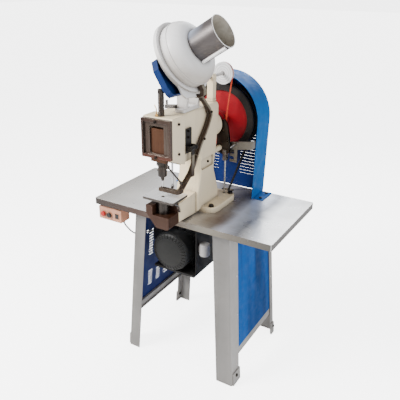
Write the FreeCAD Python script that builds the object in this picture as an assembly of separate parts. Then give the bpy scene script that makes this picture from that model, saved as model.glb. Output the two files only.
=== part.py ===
import FreeCAD, Part
import math
import os

# Powered eyelet setting machine on its own steel stand.
# Lengths in millimetres, angles in degrees. X right, Y back, Z up.
# The origin lies on the floor under the middle of the table.

V = FreeCAD.Vector

# Shared allowances
over = 2.0
tiny = 0.001
seat_gap = 0.3
run_gap = 0.05

# Table
table_length = 880.0
table_depth = 480.0
table_thickness = 28.0
table_height = 780.0
table_corner = 10.0
belt_slot_length = 60.0
belt_slot_width = 34.0

# Legs, folded from sheet, leaning in to the table
foot_half_x = 292.0
foot_half_y = 241.0
stand_middle_y = 15.0
leg_top_half_x = 240.0
leg_top_half_y = 214.0
leg_width = 72.0
rear_leg_width = 38.0
right_leg_front_width = 82.0
left_leg_front_width = 60.0
leg_sheet = 4.0
rail_height = 46.0
right_rail_bottom = 122.0
left_rail_bottom = 182.0
rail_sheet = 3.0
rail_flange = 12.0
top_rail_height = 40.0
panel_sheet = 1.5
right_panel_bottom = 160.0
left_panel_bottom = 180.0
panel_top_gap = 2.0
foot_plate_thickness = 6.0
foot_wing_width = 72.0
foot_wing_height = 62.0
foot_wing_inset = 4.0
foot_bolt_height = 42.0
panel_screw_heights = (346.0, 537.0)
panel_screw_edge = 12.0
louvre_length = 34.0
louvre_height = 3.0
louvre_pitch = 15.0
louvre_upper_rows = 10
louvre_lower_rows = 6
louvre_upper_start_drop = 294.0
louvre_lower_start_drop = 468.0
louvre_column_spots = (-103.0, -35.0, 33.0)
lead_hole_y = -119.0
lead_hole_drop = 154.0
lead_hole_radius = 8.0

# Bolts, screws
bolt_radius = 6.0
bolt_head_width = 19.0
bolt_head_height = 7.5
washer_radius = 12.0
washer_thickness = 2.5
small_bolt_radius = 4.0
small_head_width = 13.0
small_head_height = 5.3
socket_radius = 3.0
socket_head_radius = 5.0
socket_head_height = 5.0
socket_key_radius = 2.2
socket_key_depth = 2.5
socket_reach = 12.0
dome_radius = 5.0
dome_height = 2.6
dome_shank_radius = 2.0

# Frame casting
base_half_x = 118.0
base_front_y = -118.0
base_rear_y = 108.0
base_thickness = 25.0
base_corner = 45.0
base_bolt_x = 92.0
base_bolt_front_y = -93.0
base_bolt_rear_y = 84.0
column_half_x = 56.0
column_front_y = -121.0
column_round = 24.0
arm_top_rise = 113.0
arm_bottom_drop = 85.0
arm_rear_y = 25.0
shaft_rise = 347.0
boss_radius = 55.0
boss_end_y = 58.0
head_half_x = 66.0
head_front_y = -350.0
head_rear_y = -262.0
head_front_bottom_drop = 49.0
head_corner = 8.0
horn_half_x = 45.0
horn_tip_half_x = 40.0
horn_front_y = -290.0
horn_front_bottom_rise = 12.0
horn_front_top_rise = 88.0
horn_rear_top_rise = 100.0
pocket_front_y = -117.0
pocket_rear_y = -18.0
pocket_bottom_drop = 157.0
pocket_top_drop = 110.0
pocket_depth = 8.0
pocket_corner = 9.0
bush_outer_radius = 20.0
bush_length = 40.0

# Ram, its ways and the crank
ram_y = -323.0
slide_half_x = 34.0
slide_rear_y = -330.0
slide_bottom_drop = 61.0
slide_top_rise = 69.0
slide_gap = 0.3
way_top_rise = 79.0
foot_half_width = 21.0
foot_height = 18.0
collar_radius = 23.0
collar_height = 19.0
neck_radius = 10.0
chuck_radius = 17.5
chuck_height = 43.0
chuck_cut = 3.0
cone_radius = 7.0
cone_height = 18.0
cone_tip_radius = 4.5
needle_radius = 2.0
needle_out = 36.0
needle_in = 26.0
stroke = 64.0
crank_disc_radius = 40.0
crank_disc_front = -318.0
crank_disc_rear = -300.0
crank_pin_radius = 8.0
crank_pin_gap = 0.6
crank_room = 4.0
shaft_radius = 15.0
shaft_end_y = 226.0
shaft_nut_radius = 22.0
shaft_nut_length = 14.0

# Head cover
cover_thickness = 14.0
cover_plate = 6.0
cover_rim_top = 14.0
cover_rim_side = 8.0
cover_window_half = 32.0
cover_window_bottom_drop = 34.0
cover_window_top_rise = 89.0
cover_bottom_drop = 43.0
cover_top_rise = 109.0

# Fittings on top of the head
barrel_radius = 12.0
barrel_top_rise = 213.0
barrel_depth = 16.0
barrel_thread_depth = 0.9
barrel_thread_pitch = 5.0
barrel_cap = 12.0
stay_thickness = 7.0
stay_height = 15.0
stay_front_y = -306.0
stay_rear_y = -150.0
stay_front_rise = 25.0
stay_pad = 24.0
stay_knob_radius = 5.0
stay_knob_height = 14.0
oiler_x = -11.5
oiler_y = -338.0
oiler_base_radius = 5.5
oiler_base_height = 9.0
oiler_pipe_radius = 2.0
oiler_height = 40.0
oiler_bend = 12.0

# Stop rod beside the ram
stop_rod_x = 32.0
stop_rod_y = -302.0
stop_rod_radius = 4.0
stop_rod_low_drop = 165.0
stop_knob_radius = 7.0
stop_knob_height = 16.0

# Anvil
anvil_left = -55.0
anvil_right = 52.0
anvil_front_y = -365.0
anvil_top_rise = 104.0
anvil_seat_rise = 65.0
anvil_chin_rise = 69.0
anvil_post_radius = 23.0
anvil_post_bottom_rise = 35.0
ear_inner_x = -24.0
back_wall_y = -298.5
thumb_rise = 49.0
thumb_radius = 4.0
thumb_head_radius = 9.0
thumb_head_length = 9.0
thumb_out = 3.0
plate_top_rise = 135.0
plate_thickness = 10.0
plate_half_x = 73.0
plate_front_y = -363.0
plate_rear_y = -253.0
plate_corner = 6.0
plate_hole_radius = 7.0
die_radius = 6.4
die_rise = 1.0
die_bore = 2.8
strap_width = 12.0
strap_thickness = 5.0
strap_reach = 14.0

# Hopper, set on an axis that leans back from the upright
hopper_x = 33.0
hopper_y = -180.0
hopper_rise = 326.0
hopper_lean = 31.3
bowl_radius = 124.5
bowl_wall = 5.0
bowl_depth = 38.0
bowl_lip = 1.6
bowl_lip_width = 3.0
dome_out = 52.0
mouth_radius = 63.0
bowl_exit_width = 14.0
bowl_exit_length = 18.0
funnel_length = 117.0
funnel_wall = 1.2
funnel_lip = 2.0
seam_width = 14.0
seam_thickness = 9.0
seam_swing = 28.0
carrier_radius = 141.0
carrier_back = 46.0
carrier_plate = 7.5
carrier_rim = 30.0
hub_radius = 24.0
hub_back = 54.0
brush_shaft_radius = 10.0
brush_radius = 110.0
brush_core_radius = 42.0
brush_front = 8.0
brush_back = 30.0
brush_bar = 12.0
brush_bars = 8
brush_gap = 3.0
wheel_radius = 83.0
wheel_root = 79.0
wheel_teeth = 40
wheel_back = 70.0
wheel_front = 58.0
wheel_hub_radius = 20.0
worm_radius = 11.0
worm_gap = 0.6
worm_length = 56.0
worm_groove = 2.0
worm_pitch = 9.0
worm_shaft_radius = 7.0
worm_shaft_front_y = -234.0
web_thickness = 14.0
front_web_y = -218.0
rear_web_y = -146.0
mount_foot_left = 10.0
mount_foot_right = 50.0
mount_foot_height = 14.0
mount_foot_front_y = -248.0
mount_foot_rear_y = -126.0

# Blue cover beside the hopper carrier, points as shares of the carrier radius
cover_depth = 26.0
cover_sheet = 2.5
cover_outline_shares = (
    (-1.02, 0.13), (-0.80, 0.14), (-0.43, -0.84), (-0.50, -0.90),
    (-1.01, -0.88), (-1.08, -0.80), (-1.13, -0.63), (-1.14, -0.13))

# Small drive to the hopper
small_belt_y = 110.0
small_pulley_radius = 44.0
small_pulley_width = 16.0
round_belt_radius = 3.0
small_pulley_rim = 3.0
bracket_left = 14.0
bracket_right = 41.0
bracket_front_y = -6.0
bracket_rear_y = 24.0
bracket_eye_radius = 15.0

# Track that carries the eyelets down
track_left = 60.0
track_width = 20.0
track_half = 5.0
track_groove_width = 9.0
track_groove_depth = 2.5
track_bend = 12.0
track_stand_radius = 6.0
upper_track_spots = (
    (-184.0, 170.0), (-158.0, 166.0), (-134.0, 143.0), (-95.0, 105.0),
    (-78.0, 77.0), (-101.0, 37.0), (-125.0, 9.0), (-156.0, -25.0),
    (-185.0, -65.0))
lower_track_spots = (
    (-186.2, -66.7), (-210.0, -102.0), (-232.0, -129.0), (-262.0, -149.0),
    (-302.0, -177.0))
tip_bottom_drop = 187.0
tip_top_drop = 173.0
tip_left = -13.0
tip_slot = 7.0
tip_slot_end = 6.0
tip_corner = 18.0
pivot_x = 82.0
pivot_drop = 22.0
pivot_radius = 4.0
pivot_front_y = -256.0
pivot_rear_y = -208.0
lug_thickness = 8.0
lug_radius = 10.0
lug_plate = 6.0
lug_plate_bottom_drop = 45.0
lug_plate_top_rise = 53.0
swing_arm_width = 18.0
swing_arm_thickness = 6.0
link_radius = 3.5
link_eye_radius = 7.0
link_eye_width = 8.0
link_low_y = -300.0
link_low_drop = 151.0
link_high_x = 37.0
link_high_y = -340.0
link_high_drop = 77.0

# Flywheel and its belt
flywheel_front_y = 147.0
flywheel_rear_y = 200.0
flywheel_radius = 163.0
flywheel_rim_inner = 127.0
web_front_y = 156.0
web_rear_y = 172.0
flywheel_hub_radius = 34.0
belt_y = 170.0
belt_pitch_radius = 155.0
motor_pulley_pitch = 38.0
belt_top_width = 13.0
belt_base_width = 8.0
belt_height = 8.0
belt_room = 0.4
sleeve_radius = 30.0
sleeve_slot = 9.0

# Trip lever, rod, spring
trip_pivot_x = 40.0
trip_pivot_drop = 107.0
trip_pin_radius = 6.0
trip_y = 69.0
trip_thickness = 14.0
trip_spots = (
    (24.0, -115.0), (24.0, -34.0), (53.0, 28.0), (73.0, 0.0),
    (85.0, -65.0), (86.0, -125.0), (62.0, -139.0), (34.0, -129.0))
trip_corner = 7.0
trip_rod_x = 66.0
trip_rod_radius = 4.0
trip_rod_bottom_drop = 62.0
trip_eye_radius = 10.0
trip_eye_bore = 5.0
trip_fork_bottom_drop = 163.0
trip_fork_block = 12.0
trip_fork_top_drop = 113.0
trip_fork_width = 16.0
trip_fork_thickness = 4.0
trip_fork_gap = 0.7
trip_fork_pin_radius = 3.0
trip_fork_pin_drop = 122.0
trip_fork_slack = 0.9
trip_slot_left = 0.5
trip_slot_right = 5.0
trip_slot_lift = 0.3
trip_rod_hole = 7.0
spring_coil_radius = 4.5
spring_wire_radius = 0.7
spring_turns = 10
spring_low_x = 88.0
spring_low_drop = 103.0
spring_high_x = 112.0
spring_high_drop = 83.0
spring_hook_radius = 2.0

# Bar to the guard, F shaped anchor on it
bar_left = 26.0
bar_left_bottom_drop = 125.0
bar_right_bottom_drop = 100.0
bar_height = 36.0
bar_thickness = 6.0
bar_y = 92.0
bar_tab_thickness = 5.0
bar_tab_reach = 40.0
anchor_x = 108.0
anchor_bar = 12.0
anchor_bottom_drop = 171.0
anchor_prong = 26.0
anchor_thickness = 4.0

# Guard
guard_front_y = 121.0
guard_rear_y = 249.0
guard_sheet = 2.0
guard_foot_half = 185.0
guard_half = 196.0
guard_centre_rise = 13.0
guard_flange = 50.0
guard_flange_thickness = 3.0
guard_flange_inset = 12.0
guard_bolt_inset = 30.0
vent_left = 56.0
vent_length = 78.0
vent_height = 2.0
vent_pitch = 15.0
vent_rows = 14
vent_start_rise = 70.0

# Motor
motor_x = -78.0
motor_drop = 187.0
motor_front_y = -110.0
motor_rear_y = 95.0
motor_radius = 80.0
motor_fin = 4.5
motor_fin_width = 3.0
motor_fins = 28
motor_bell = 12.0
motor_nose = 10.0
motor_nose_radius = 34.0
motor_bore = 46.0
motor_wall = 30.0
motor_foot_half = 66.0
motor_foot_front_y = -64.0
motor_foot_rear_y = 48.0
motor_foot_width = 24.0
rotor_radius = 44.0
rotor_end_room = 8.0
motor_shaft_radius = 9.5
fan_radius = 76.0
fan_front_y = -158.0
fan_rear_y = -136.0
fan_blades = 9
fan_blade = 3.0
fan_hub = 26.0
cowl_radius = 94.0
cowl_front_y = -180.0
cowl_sheet = 2.0
cowl_round = 12.0
cowl_dome_shares = (
    (0.30, 0.06), (0.55, 0.22), (0.74, 0.46), (0.87, 0.80), (0.95, 1.30), (1.0, 2.1))
cowl_slots = 32
cowl_slot_inner = 68.0
cowl_slot_outer_share = 0.93
cowl_slot_width = 3.0
pulley_width = 22.0
terminal_left = -212.0
terminal_right = -150.0
terminal_front_y = -98.0
terminal_rear_y = -38.0
terminal_bottom_drop = 186.0
terminal_top_rise = 60.0
terminal_round = 5.0
capacitor_x = 66.0
capacitor_y = -98.0
capacitor_radius = 24.0
capacitor_bottom_drop = 194.0
capacitor_top_drop = 134.0
capacitor_foot_half = 10.0
capacitor_foot_inset = 14.0
capacitor_round = 4.0
shelf_top_drop = 287.0
shelf_thickness = 10.0
shelf_left = -178.0
shelf_right = 40.0
shelf_front_y = -148.0
shelf_rear_y = 90.0
hanger_thickness = 4.0
left_hanger_span = (4.0, 58.0)
right_hanger_span = (-129.0, 90.0)
hanger_flange = 30.0

# Switch box and its lead
switch_leg_gap = 62.0
switch_width = 129.0
switch_front_y = -225.0
switch_rear_y = -165.0
switch_bottom_drop = 76.0
switch_top_drop = 14.0
switch_round = 3.0
switch_rail = 20.0
button_radius = 12.0
button_drop = 47.0
stop_reach = 29.0
start_reach = 63.0
button_out = 9.0
button_in = 10.0
button_stem_radius = 5.0
button_travel = 3.0
button_cap_round = 2.0
collar_ring = 3.0
rocker_reach = 104.0
rocker_half_x = 10.0
rocker_half_z = 12.0
rocker_out = 3.0
rocker_depth = 10.0
rocker_pin_radius = 1.5
lead_radius = 3.5
lead_box_spots = (
    (117.0, -196.0, -76.0), (125.0, -192.0, -98.0), (149.0, -170.0, -142.0))
lead_wall_spots = (
    (-13.351, -128.0, -164.0), (8.649, -100.0, -152.0))
lead_motor_spots = (
    (-16.0, -84.0, -148.0), (0.0, -72.0, -155.0))
clip_width = 9.0
clip_thickness = 2.0

# Curves of the casting and other small sizes of the head
column_flare = 24.0
column_flare_top_rise = 87.0
column_rear_y = 10.0
column_waist_y = -9.0
column_waist_drop = 172.0
column_rear_foot_y = 38.0
column_rear_flare_rise = 69.0
column_bend = 40.0
casting_edge = 9.0
small_edge = 4.0
horn_root_y = -96.0
horn_bend = 16.0
head_neck_y = -275.0
side_screw_y = -308.0
side_screw_low_drop = 29.0
side_screw_high_rise = 87.0
pocket_bolt_y = -54.0
pocket_bolt_drop = 134.0
anvil_corner = 10.0
anvil_left_cut_share = 0.45
needle_run = 0.15
fin_root = 1.0
guard_screw_reach = 22.0

# Places that follow from the sizes above
table_bottom = table_height - table_thickness
shaft_height = table_height + shaft_rise
horn_front_bottom = table_height + horn_front_bottom_rise
horn_front_top = table_height + horn_front_top_rise
horn_rear_top = table_height + horn_rear_top_rise
anvil_top = table_height + anvil_top_rise
anvil_seat = table_height + anvil_seat_rise
anvil_chin = table_height + anvil_chin_rise
anvil_post_bottom = table_height + anvil_post_bottom_rise
plate_top = table_height + plate_top_rise
vent_start = table_height + vent_start_rise
column_flare_top = table_height + column_flare_top_rise
column_rear_flare_z = table_height + column_rear_flare_rise
thumb_height = anvil_post_bottom + thumb_rise
arm_top = shaft_height + arm_top_rise
arm_bottom = shaft_height - arm_bottom_drop
head_front_bottom = shaft_height - head_front_bottom_drop
pocket_bottom = shaft_height - pocket_bottom_drop
pocket_top = shaft_height - pocket_top_drop
slide_bottom = shaft_height - slide_bottom_drop
slide_top = shaft_height + slide_top_rise
way_top = shaft_height + way_top_rise
cover_window_bottom = shaft_height - cover_window_bottom_drop
cover_window_top = shaft_height + cover_window_top_rise
cover_bottom = shaft_height - cover_bottom_drop
cover_top = shaft_height + cover_top_rise
barrel_top = shaft_height + barrel_top_rise
stop_rod_low = shaft_height - stop_rod_low_drop
hopper_z = shaft_height + hopper_rise
tip_bottom = shaft_height - tip_bottom_drop
tip_top = shaft_height - tip_top_drop
pivot_z = shaft_height - pivot_drop
lug_plate_bottom = shaft_height - lug_plate_bottom_drop
lug_plate_top = shaft_height + lug_plate_top_rise
link_low_z = shaft_height - link_low_drop
link_high_z = shaft_height - link_high_drop
trip_pivot_z = shaft_height - trip_pivot_drop
trip_fork_bottom = shaft_height - trip_fork_bottom_drop
trip_fork_top = shaft_height - trip_fork_top_drop
trip_fork_pin_z = shaft_height - trip_fork_pin_drop
spring_low_z = shaft_height - spring_low_drop
spring_high_z = shaft_height - spring_high_drop
bar_left_bottom = shaft_height - bar_left_bottom_drop
bar_right_bottom = shaft_height - bar_right_bottom_drop
anchor_bottom = shaft_height - anchor_bottom_drop
guard_centre = shaft_height + guard_centre_rise
column_waist_z = shaft_height - column_waist_drop
side_screw_low = shaft_height - side_screw_low_drop
side_screw_high = shaft_height + side_screw_high_rise
pocket_bolt_z = shaft_height - pocket_bolt_drop
motor_z = table_bottom - motor_drop
terminal_bottom = table_bottom - terminal_bottom_drop
capacitor_bottom = table_bottom - capacitor_bottom_drop
capacitor_top = table_bottom - capacitor_top_drop
shelf_top = table_bottom - shelf_top_drop
switch_bottom = table_bottom - switch_bottom_drop
switch_top = table_bottom - switch_top_drop
button_z = table_bottom - button_drop
trip_rod_bottom = table_bottom - trip_rod_bottom_drop
louvre_upper_start = table_bottom - louvre_upper_start_drop
louvre_lower_start = table_bottom - louvre_lower_start_drop
lead_hole_z = table_bottom - lead_hole_drop
terminal_top = terminal_bottom + terminal_top_rise
switch_right = -leg_top_half_x - switch_leg_gap
switch_left = switch_right - switch_width
stop_x = switch_left + stop_reach
start_x = switch_left + start_reach
rocker_x = switch_left + rocker_reach
upper_track_points = [(y, shaft_height + rise) for y, rise in upper_track_spots]
lower_track_points = [(y, shaft_height + rise) for y, rise in lower_track_spots]
trip_outline = [(x, shaft_height + rise) for x, rise in trip_spots]
lead_points = [(switch_left + x, y, table_bottom + z) for x, y, z in lead_box_spots]
lead_wall_x = -foot_half_x + (foot_half_x - leg_top_half_x) * lead_hole_z / table_bottom
lead_points += [(lead_wall_x + x, y, table_bottom + z) for x, y, z in lead_wall_spots]
lead_points += [(terminal_left + x, y, table_bottom + z) for x, y, z in lead_motor_spots]
base_top = table_height + base_thickness
collar_bottom = slide_bottom - collar_height
chuck_bottom = collar_bottom - chuck_height - chuck_cut
cone_bottom = chuck_bottom - cone_height
plate_bottom = plate_top - plate_thickness
lean = math.radians(hopper_lean)
hopper_axis = V(math.cos(lean), 0, math.sin(lean))
hopper_up = V(-math.sin(lean), 0, math.cos(lean))
hopper_middle = V(hopper_x, hopper_y, hopper_z)
worm_drop = wheel_radius + worm_radius + worm_gap
wheel_middle = (wheel_back + wheel_front) / 2
whole_turn = 360.0
track_right = track_left + track_width


def hopper_point(along, rise, side=0):
    """A point of the hopper: distance along its axis, up in its plane, sideways."""
    return hopper_middle + hopper_axis * along + hopper_up * rise + V(0, side, 0)


worm_line = hopper_point(-wheel_middle, -worm_drop)
worm_x = worm_line.x
worm_z = worm_line.z


def leg_x(height):
    """Half width over the legs at a height."""
    return foot_half_x + (leg_top_half_x - foot_half_x) * height / table_bottom


def leg_y(height):
    """Half depth over the legs at a height."""
    return foot_half_y + (leg_top_half_y - foot_half_y) * height / table_bottom


# Drawing helpers

def box(left, right, front, rear, bottom, top):
    return Part.makeBox(right - left, rear - front, top - bottom, V(left, front, bottom))


def rod(start, end, radius):
    return Part.makeCylinder(radius, (end - start).Length, start, end - start)


def tube(start, end, outer, inner):
    way = (end - start).normalize() * over
    return rod(start, end, outer).cut(rod(start - way, end + way, inner))


def placed(plane, level, across, upward):
    if plane == "xy":
        return V(across, upward, level)
    if plane == "xz":
        return V(across, level, upward)
    return V(level, across, upward)


def outline_wire(points, plane, level):
    """Closed outline; a third number on a point rounds that corner."""
    marks = []
    count = len(points)
    for index in range(count):
        here = points[index]
        spot = V(here[0], here[1], 0)
        radius = here[2] if len(here) > 2 else 0
        if radius <= 0:
            marks.append((spot, None, spot))
            continue
        before = points[index - 1]
        after = points[(index + 1) % count]
        back = (V(before[0], before[1], 0) - spot).normalize()
        ahead = (V(after[0], after[1], 0) - spot).normalize()
        half = back.getAngle(ahead) / 2
        reach = radius / math.tan(half)
        inward = (back + ahead).normalize()
        middle = spot + inward * (radius / math.sin(half) - radius)
        marks.append((spot + back * reach, middle, spot + ahead * reach))
    edges = []
    for index in range(count):
        first, middle, last = marks[index]
        start = placed(plane, level, first.x, first.y)
        end = placed(plane, level, last.x, last.y)
        if middle is not None:
            bend = placed(plane, level, middle.x, middle.y)
            edges.append(Part.Arc(start, bend, end).toShape())
        following = marks[(index + 1) % count][0]
        goal = placed(plane, level, following.x, following.y)
        if (goal - end).Length > tiny:
            edges.append(Part.LineSegment(end, goal).toShape())
    return Part.Wire(edges)


def slab(points, plane, start, end):
    """An outline carried from one level to another, square to its plane."""
    face = Part.Face(outline_wire(points, plane, start))
    return face.extrude(placed(plane, end, 0, 0) - placed(plane, start, 0, 0))


def rounded(points, radius):
    return [(point[0], point[1], radius) for point in points]


def plate_outline(left, right, low, high, radius):
    return rounded([(left, low), (right, low), (right, high), (left, high)], radius)


def spun(profile, base, axis):
    """A solid of revolution from (radius, distance along the axis) points."""
    corners = [V(radius, 0, along) for radius, along in profile]
    face = Part.Face(Part.makePolygon(corners + [corners[0]]))
    solid = face.revolve(V(0, 0, 0), V(0, 0, 1), whole_turn)
    solid.Placement = FreeCAD.Placement(base, FreeCAD.Rotation(V(0, 0, 1), axis))
    return solid


def joined(first, *others):
    solid = first.fuse(list(others))
    return solid.removeSplitter()


def carved(solid, *cutters):
    return solid.cut(list(cutters))


def flipped(solid):
    """The same solid on the other side of the middle plane."""
    return solid.mirror(V(0, 0, 0), V(1, 0, 0))


def hexagon(base, axis, width, height):
    """A six sided head, standing on base along the axis."""
    radius = width / math.sqrt(3)
    corners = []
    for turn in range(6):
        angle = math.radians(whole_turn * turn / 6)
        corners.append(V(radius * math.cos(angle), radius * math.sin(angle), 0))
    face = Part.Face(Part.makePolygon(corners + [corners[0]]))
    head = face.extrude(V(0, 0, height))
    cone = Part.makeCone(radius + height / 2, radius - height / 6, height)
    head = head.common(cone)
    head.Placement = FreeCAD.Placement(base, FreeCAD.Rotation(V(0, 0, 1), axis))
    return head


def hex_screw(seat, axis, reach, radius, width, height):
    """Head on the seat and a shank that ends in the piece below."""
    outward = V(axis).normalize()
    return joined(hexagon(seat, outward, width, height),
                  rod(seat + outward * (height / 2), seat - outward * reach, radius))


def hex_bolt(seat, axis, grip, radius, width, height, washer):
    """Head and washer on the seat, shank through the grip, nut on its far side."""
    outward = V(axis).normalize()
    pieces = []
    start = seat
    if washer > 0:
        pieces.append(rod(seat, seat + outward * washer, radius * washer_radius / bolt_radius))
        start = seat + outward * washer
    pieces.append(hexagon(start, outward, width, height))
    far = seat - outward * grip
    pieces.append(rod(start + outward * (height / 2), far - outward * (height * 3 / 2), radius))
    pieces.append(hexagon(far, outward * -1, width, height))
    return joined(*pieces)


def socket_screw(seat, axis, reach):
    """Round head with a key hole, shank running in from the seat."""
    outward = V(axis).normalize()
    top = seat + outward * socket_head_height
    head = joined(rod(seat, top, socket_head_radius), rod(seat - outward * reach, top, socket_radius))
    key = rod(top - outward * socket_key_depth, top + outward * over, socket_key_radius)
    return head.cut(key)


def screw_hole(seat, axis, reach):
    outward = V(axis).normalize()
    return rod(seat - outward * (reach + seat_gap), seat + outward * over, socket_radius + run_gap)


def dome_screw(seat, axis, reach):
    """Low domed head on a thin shank."""
    outward = V(axis).normalize()
    profile = [(0, -reach), (dome_shank_radius, -reach), (dome_shank_radius, 0), (dome_radius, 0),
               (dome_radius * 0.8, dome_height * 0.65), (dome_radius * 0.4, dome_height),
               (0, dome_height)]
    return spun(profile, seat, outward)


def ribbon(points, low, high):
    """Closed outline of a band beside a line of points, from one offset to another."""
    count = len(points)
    sides = ([], [])
    for index in range(count):
        here = V(points[index][0], points[index][1], 0)
        ways = []
        if index > 0:
            before = points[index - 1]
            ways.append((here - V(before[0], before[1], 0)).normalize())
        if index < count - 1:
            after = points[index + 1]
            ways.append((V(after[0], after[1], 0) - here).normalize())
        normals = [V(-way.y, way.x, 0) for way in ways]
        total = V(0, 0, 0)
        for normal in normals:
            total = total + normal
        total.normalize()
        stretch = 1 / total.dot(normals[0])
        bend = 0 if index in (0, count - 1) else track_bend
        for side, offset in zip(sides, (low, high)):
            spot = here + total * (offset * stretch)
            side.append((spot.x, spot.y, bend))
    return sides[0] + sides[1][::-1]


def leaning_plate(points, inset, thickness):
    """A plate in the plane of the side of the stand, from (y, z) points."""
    corners = [V(leg_x(z) - inset, y, z) for y, z in points]
    face = Part.Face(Part.makePolygon(corners + [corners[0]]))
    return face.extrude(V(-thickness, 0, 0))


def belt_run(first, first_radius, second, second_radius):
    """Tangent points of an open belt in a plane of constant Y, right then left."""
    line = second - first
    reach = line.Length
    line.normalize()
    across = V(-line.z, 0, line.x)
    lean_share = (first_radius - second_radius) / reach
    stretch = math.sqrt(1 - lean_share * lean_share)
    ends = []
    for sign in (1, -1):
        normal = line * lean_share + across * (sign * stretch)
        ends.append((first + normal * first_radius, second + normal * second_radius))
    return ends


def belt_wire(first, first_radius, second, second_radius):
    sides = belt_run(first, first_radius, second, second_radius)
    line = (second - first).normalize()
    top = first - line * first_radius
    bottom = second + line * second_radius
    edges = [
        Part.Arc(sides[1][0], top, sides[0][0]).toShape(),
        Part.LineSegment(sides[0][0], sides[0][1]).toShape(),
        Part.Arc(sides[0][1], bottom, sides[1][1]).toShape(),
        Part.LineSegment(sides[1][1], sides[1][0]).toShape()]
    return Part.Wire(edges)


made = {}


def keep(name, *solids):
    """Remember the solids of one node."""
    made[name] = list(solids)


# Stand

def table():
    corners = plate_outline(-table_length / 2, table_length / 2, -table_depth / 2,
                            table_depth / 2, table_corner)
    top = slab(corners, "xy", table_bottom, table_height)
    cutters = []
    for x in belt_slot_places():
        hole = plate_outline(x - belt_slot_length / 2, x + belt_slot_length / 2,
                             belt_y - belt_slot_width / 2, belt_y + belt_slot_width / 2,
                             belt_slot_width / 4)
        cutters.append(slab(hole, "xy", table_bottom - over, table_height + over))
    for x, y in base_bolt_places():
        cutters.append(rod(V(x, y, table_bottom - over), V(x, y, table_height + over),
                           bolt_radius + run_gap))
    for x, y in guard_bolt_places():
        cutters.append(rod(V(x, y, table_height - guard_screw_reach),
                           V(x, y, table_height + over), small_bolt_radius + run_gap))
    cutters.append(rod(V(trip_rod_x, trip_rod_y(), table_bottom - over),
                       V(trip_rod_x, trip_rod_y(), table_height + over), trip_rod_hole))
    keep("table_top", carved(top, *cutters))


def trip_rod_y():
    return trip_y + trip_thickness / 2


def belt_slot_places():
    """Where the two strands of the motor belt pass the table."""
    sides = belt_run(V(0, belt_y, shaft_height), belt_pitch_radius,
                     V(motor_x, belt_y, motor_z), motor_pulley_pitch)
    level = (table_height + table_bottom) / 2
    places = []
    for high, low in sides:
        share = (level - low.z) / (high.z - low.z)
        places.append(low.x + (high.x - low.x) * share)
    return places


def base_bolt_places():
    return [(x, y) for x in (-base_bolt_x, base_bolt_x)
            for y in (base_bolt_front_y, base_bolt_rear_y)]


def guard_bolt_places():
    x = guard_foot_half + guard_bolt_inset
    front = guard_front_y + guard_bolt_inset
    rear = guard_rear_y - guard_bolt_inset
    return [(side * x, y) for side in (-1, 1) for y in (front, rear)]


def leg(side_width, front_width):
    """Front right leg, a folded angle with its corner outward."""
    x = foot_half_x
    y = -foot_half_y
    corners = [(x, y, leg_sheet * 2), (x, y + side_width), (x - leg_sheet, y + side_width),
               (x - leg_sheet, y + leg_sheet, leg_sheet), (x - front_width, y + leg_sheet),
               (x - front_width, y)]
    face = Part.Face(outline_wire(corners, "xy", 0))
    way = V(leg_top_half_x - foot_half_x, foot_half_y - leg_top_half_y, table_bottom)
    return face.extrude(way)


def channel(bottom, height, inset):
    """A rail between the legs, its web leaning with them, open to the inside."""
    def reach(z):
        return leg_y(z) - leg_sheet / 2
    top = bottom + height
    outline = [(-reach(bottom), bottom), (reach(bottom), bottom), (reach(top), top),
               (-reach(top), top)]
    web = leaning_plate(outline, inset, rail_sheet)
    outer_low = leg_x(bottom) - inset
    outer_high = leg_x(top) - inset
    low = box(outer_low - rail_flange, outer_low - rail_sheet / 2, -reach(bottom), reach(bottom),
              bottom, bottom + rail_sheet)
    high = box(outer_high - rail_flange, outer_high - rail_sheet / 2, -reach(top), reach(top),
               top - rail_sheet, top)
    return joined(web, low, high)


def side_normal():
    """Outward direction square to the right side of the stand."""
    return V(table_bottom, 0, foot_half_x - leg_top_half_x).normalize()


def foot_bolt_seats():
    """Front and rear bolt of the right side, on the outer face of the bracket."""
    seats = []
    for side, width in ((-1, leg_width), (1, rear_leg_width)):
        y = side * (leg_y(foot_bolt_height) - width / 2)
        seats.append(V(leg_x(foot_bolt_height), y, foot_bolt_height)
                     + side_normal() * foot_plate_thickness)
    return seats


def panel_screw_seats():
    seats = []
    for height in panel_screw_heights:
        for side, width in ((-1, leg_width), (1, rear_leg_width)):
            y = side * (leg_y(height) - width + panel_screw_edge)
            seats.append(V(leg_x(height), y, height))
    return seats


def side_frame(rail_bottom, front_width):
    """Legs, rails and foot brackets of the right side."""
    rear = leg(rear_leg_width, front_width).mirror(V(0, 0, 0), V(0, 1, 0))
    pieces = [leg(leg_width, front_width), rear]
    inset = leg_sheet + panel_sheet + seat_gap
    pieces.append(channel(rail_bottom, rail_height, inset))
    pieces.append(channel(table_bottom - top_rail_height, top_rail_height, inset))
    for side, width in ((-1, foot_wing_width), (1, rear_leg_width)):
        near = side * (foot_half_y - leg_sheet - foot_wing_inset)
        far = side * (foot_half_y - width - foot_wing_inset)
        low = min(near, far)
        high = max(near, far)
        outline = [(low, 0), (high, 0), (high, foot_wing_height), (low, foot_wing_height)]
        pieces.append(leaning_plate(outline, -foot_plate_thickness, foot_plate_thickness + over / 4))
    frame = joined(*pieces)
    floor = box(0, foot_half_x * 2, -foot_half_y * 2, foot_half_y * 2, -table_bottom, 0)
    frame = frame.cut(floor)
    cutters = []
    for seat in foot_bolt_seats():
        way = side_normal() * (leg_sheet + foot_plate_thickness) * 2
        cutters.append(rod(seat - way, seat + way, small_bolt_radius + run_gap))
    for seat in panel_screw_seats():
        cutters.append(rod(seat - side_normal() * leg_sheet * 2, seat + side_normal() * over,
                           dome_shank_radius + run_gap))
    return carved(frame, *cutters)


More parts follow.
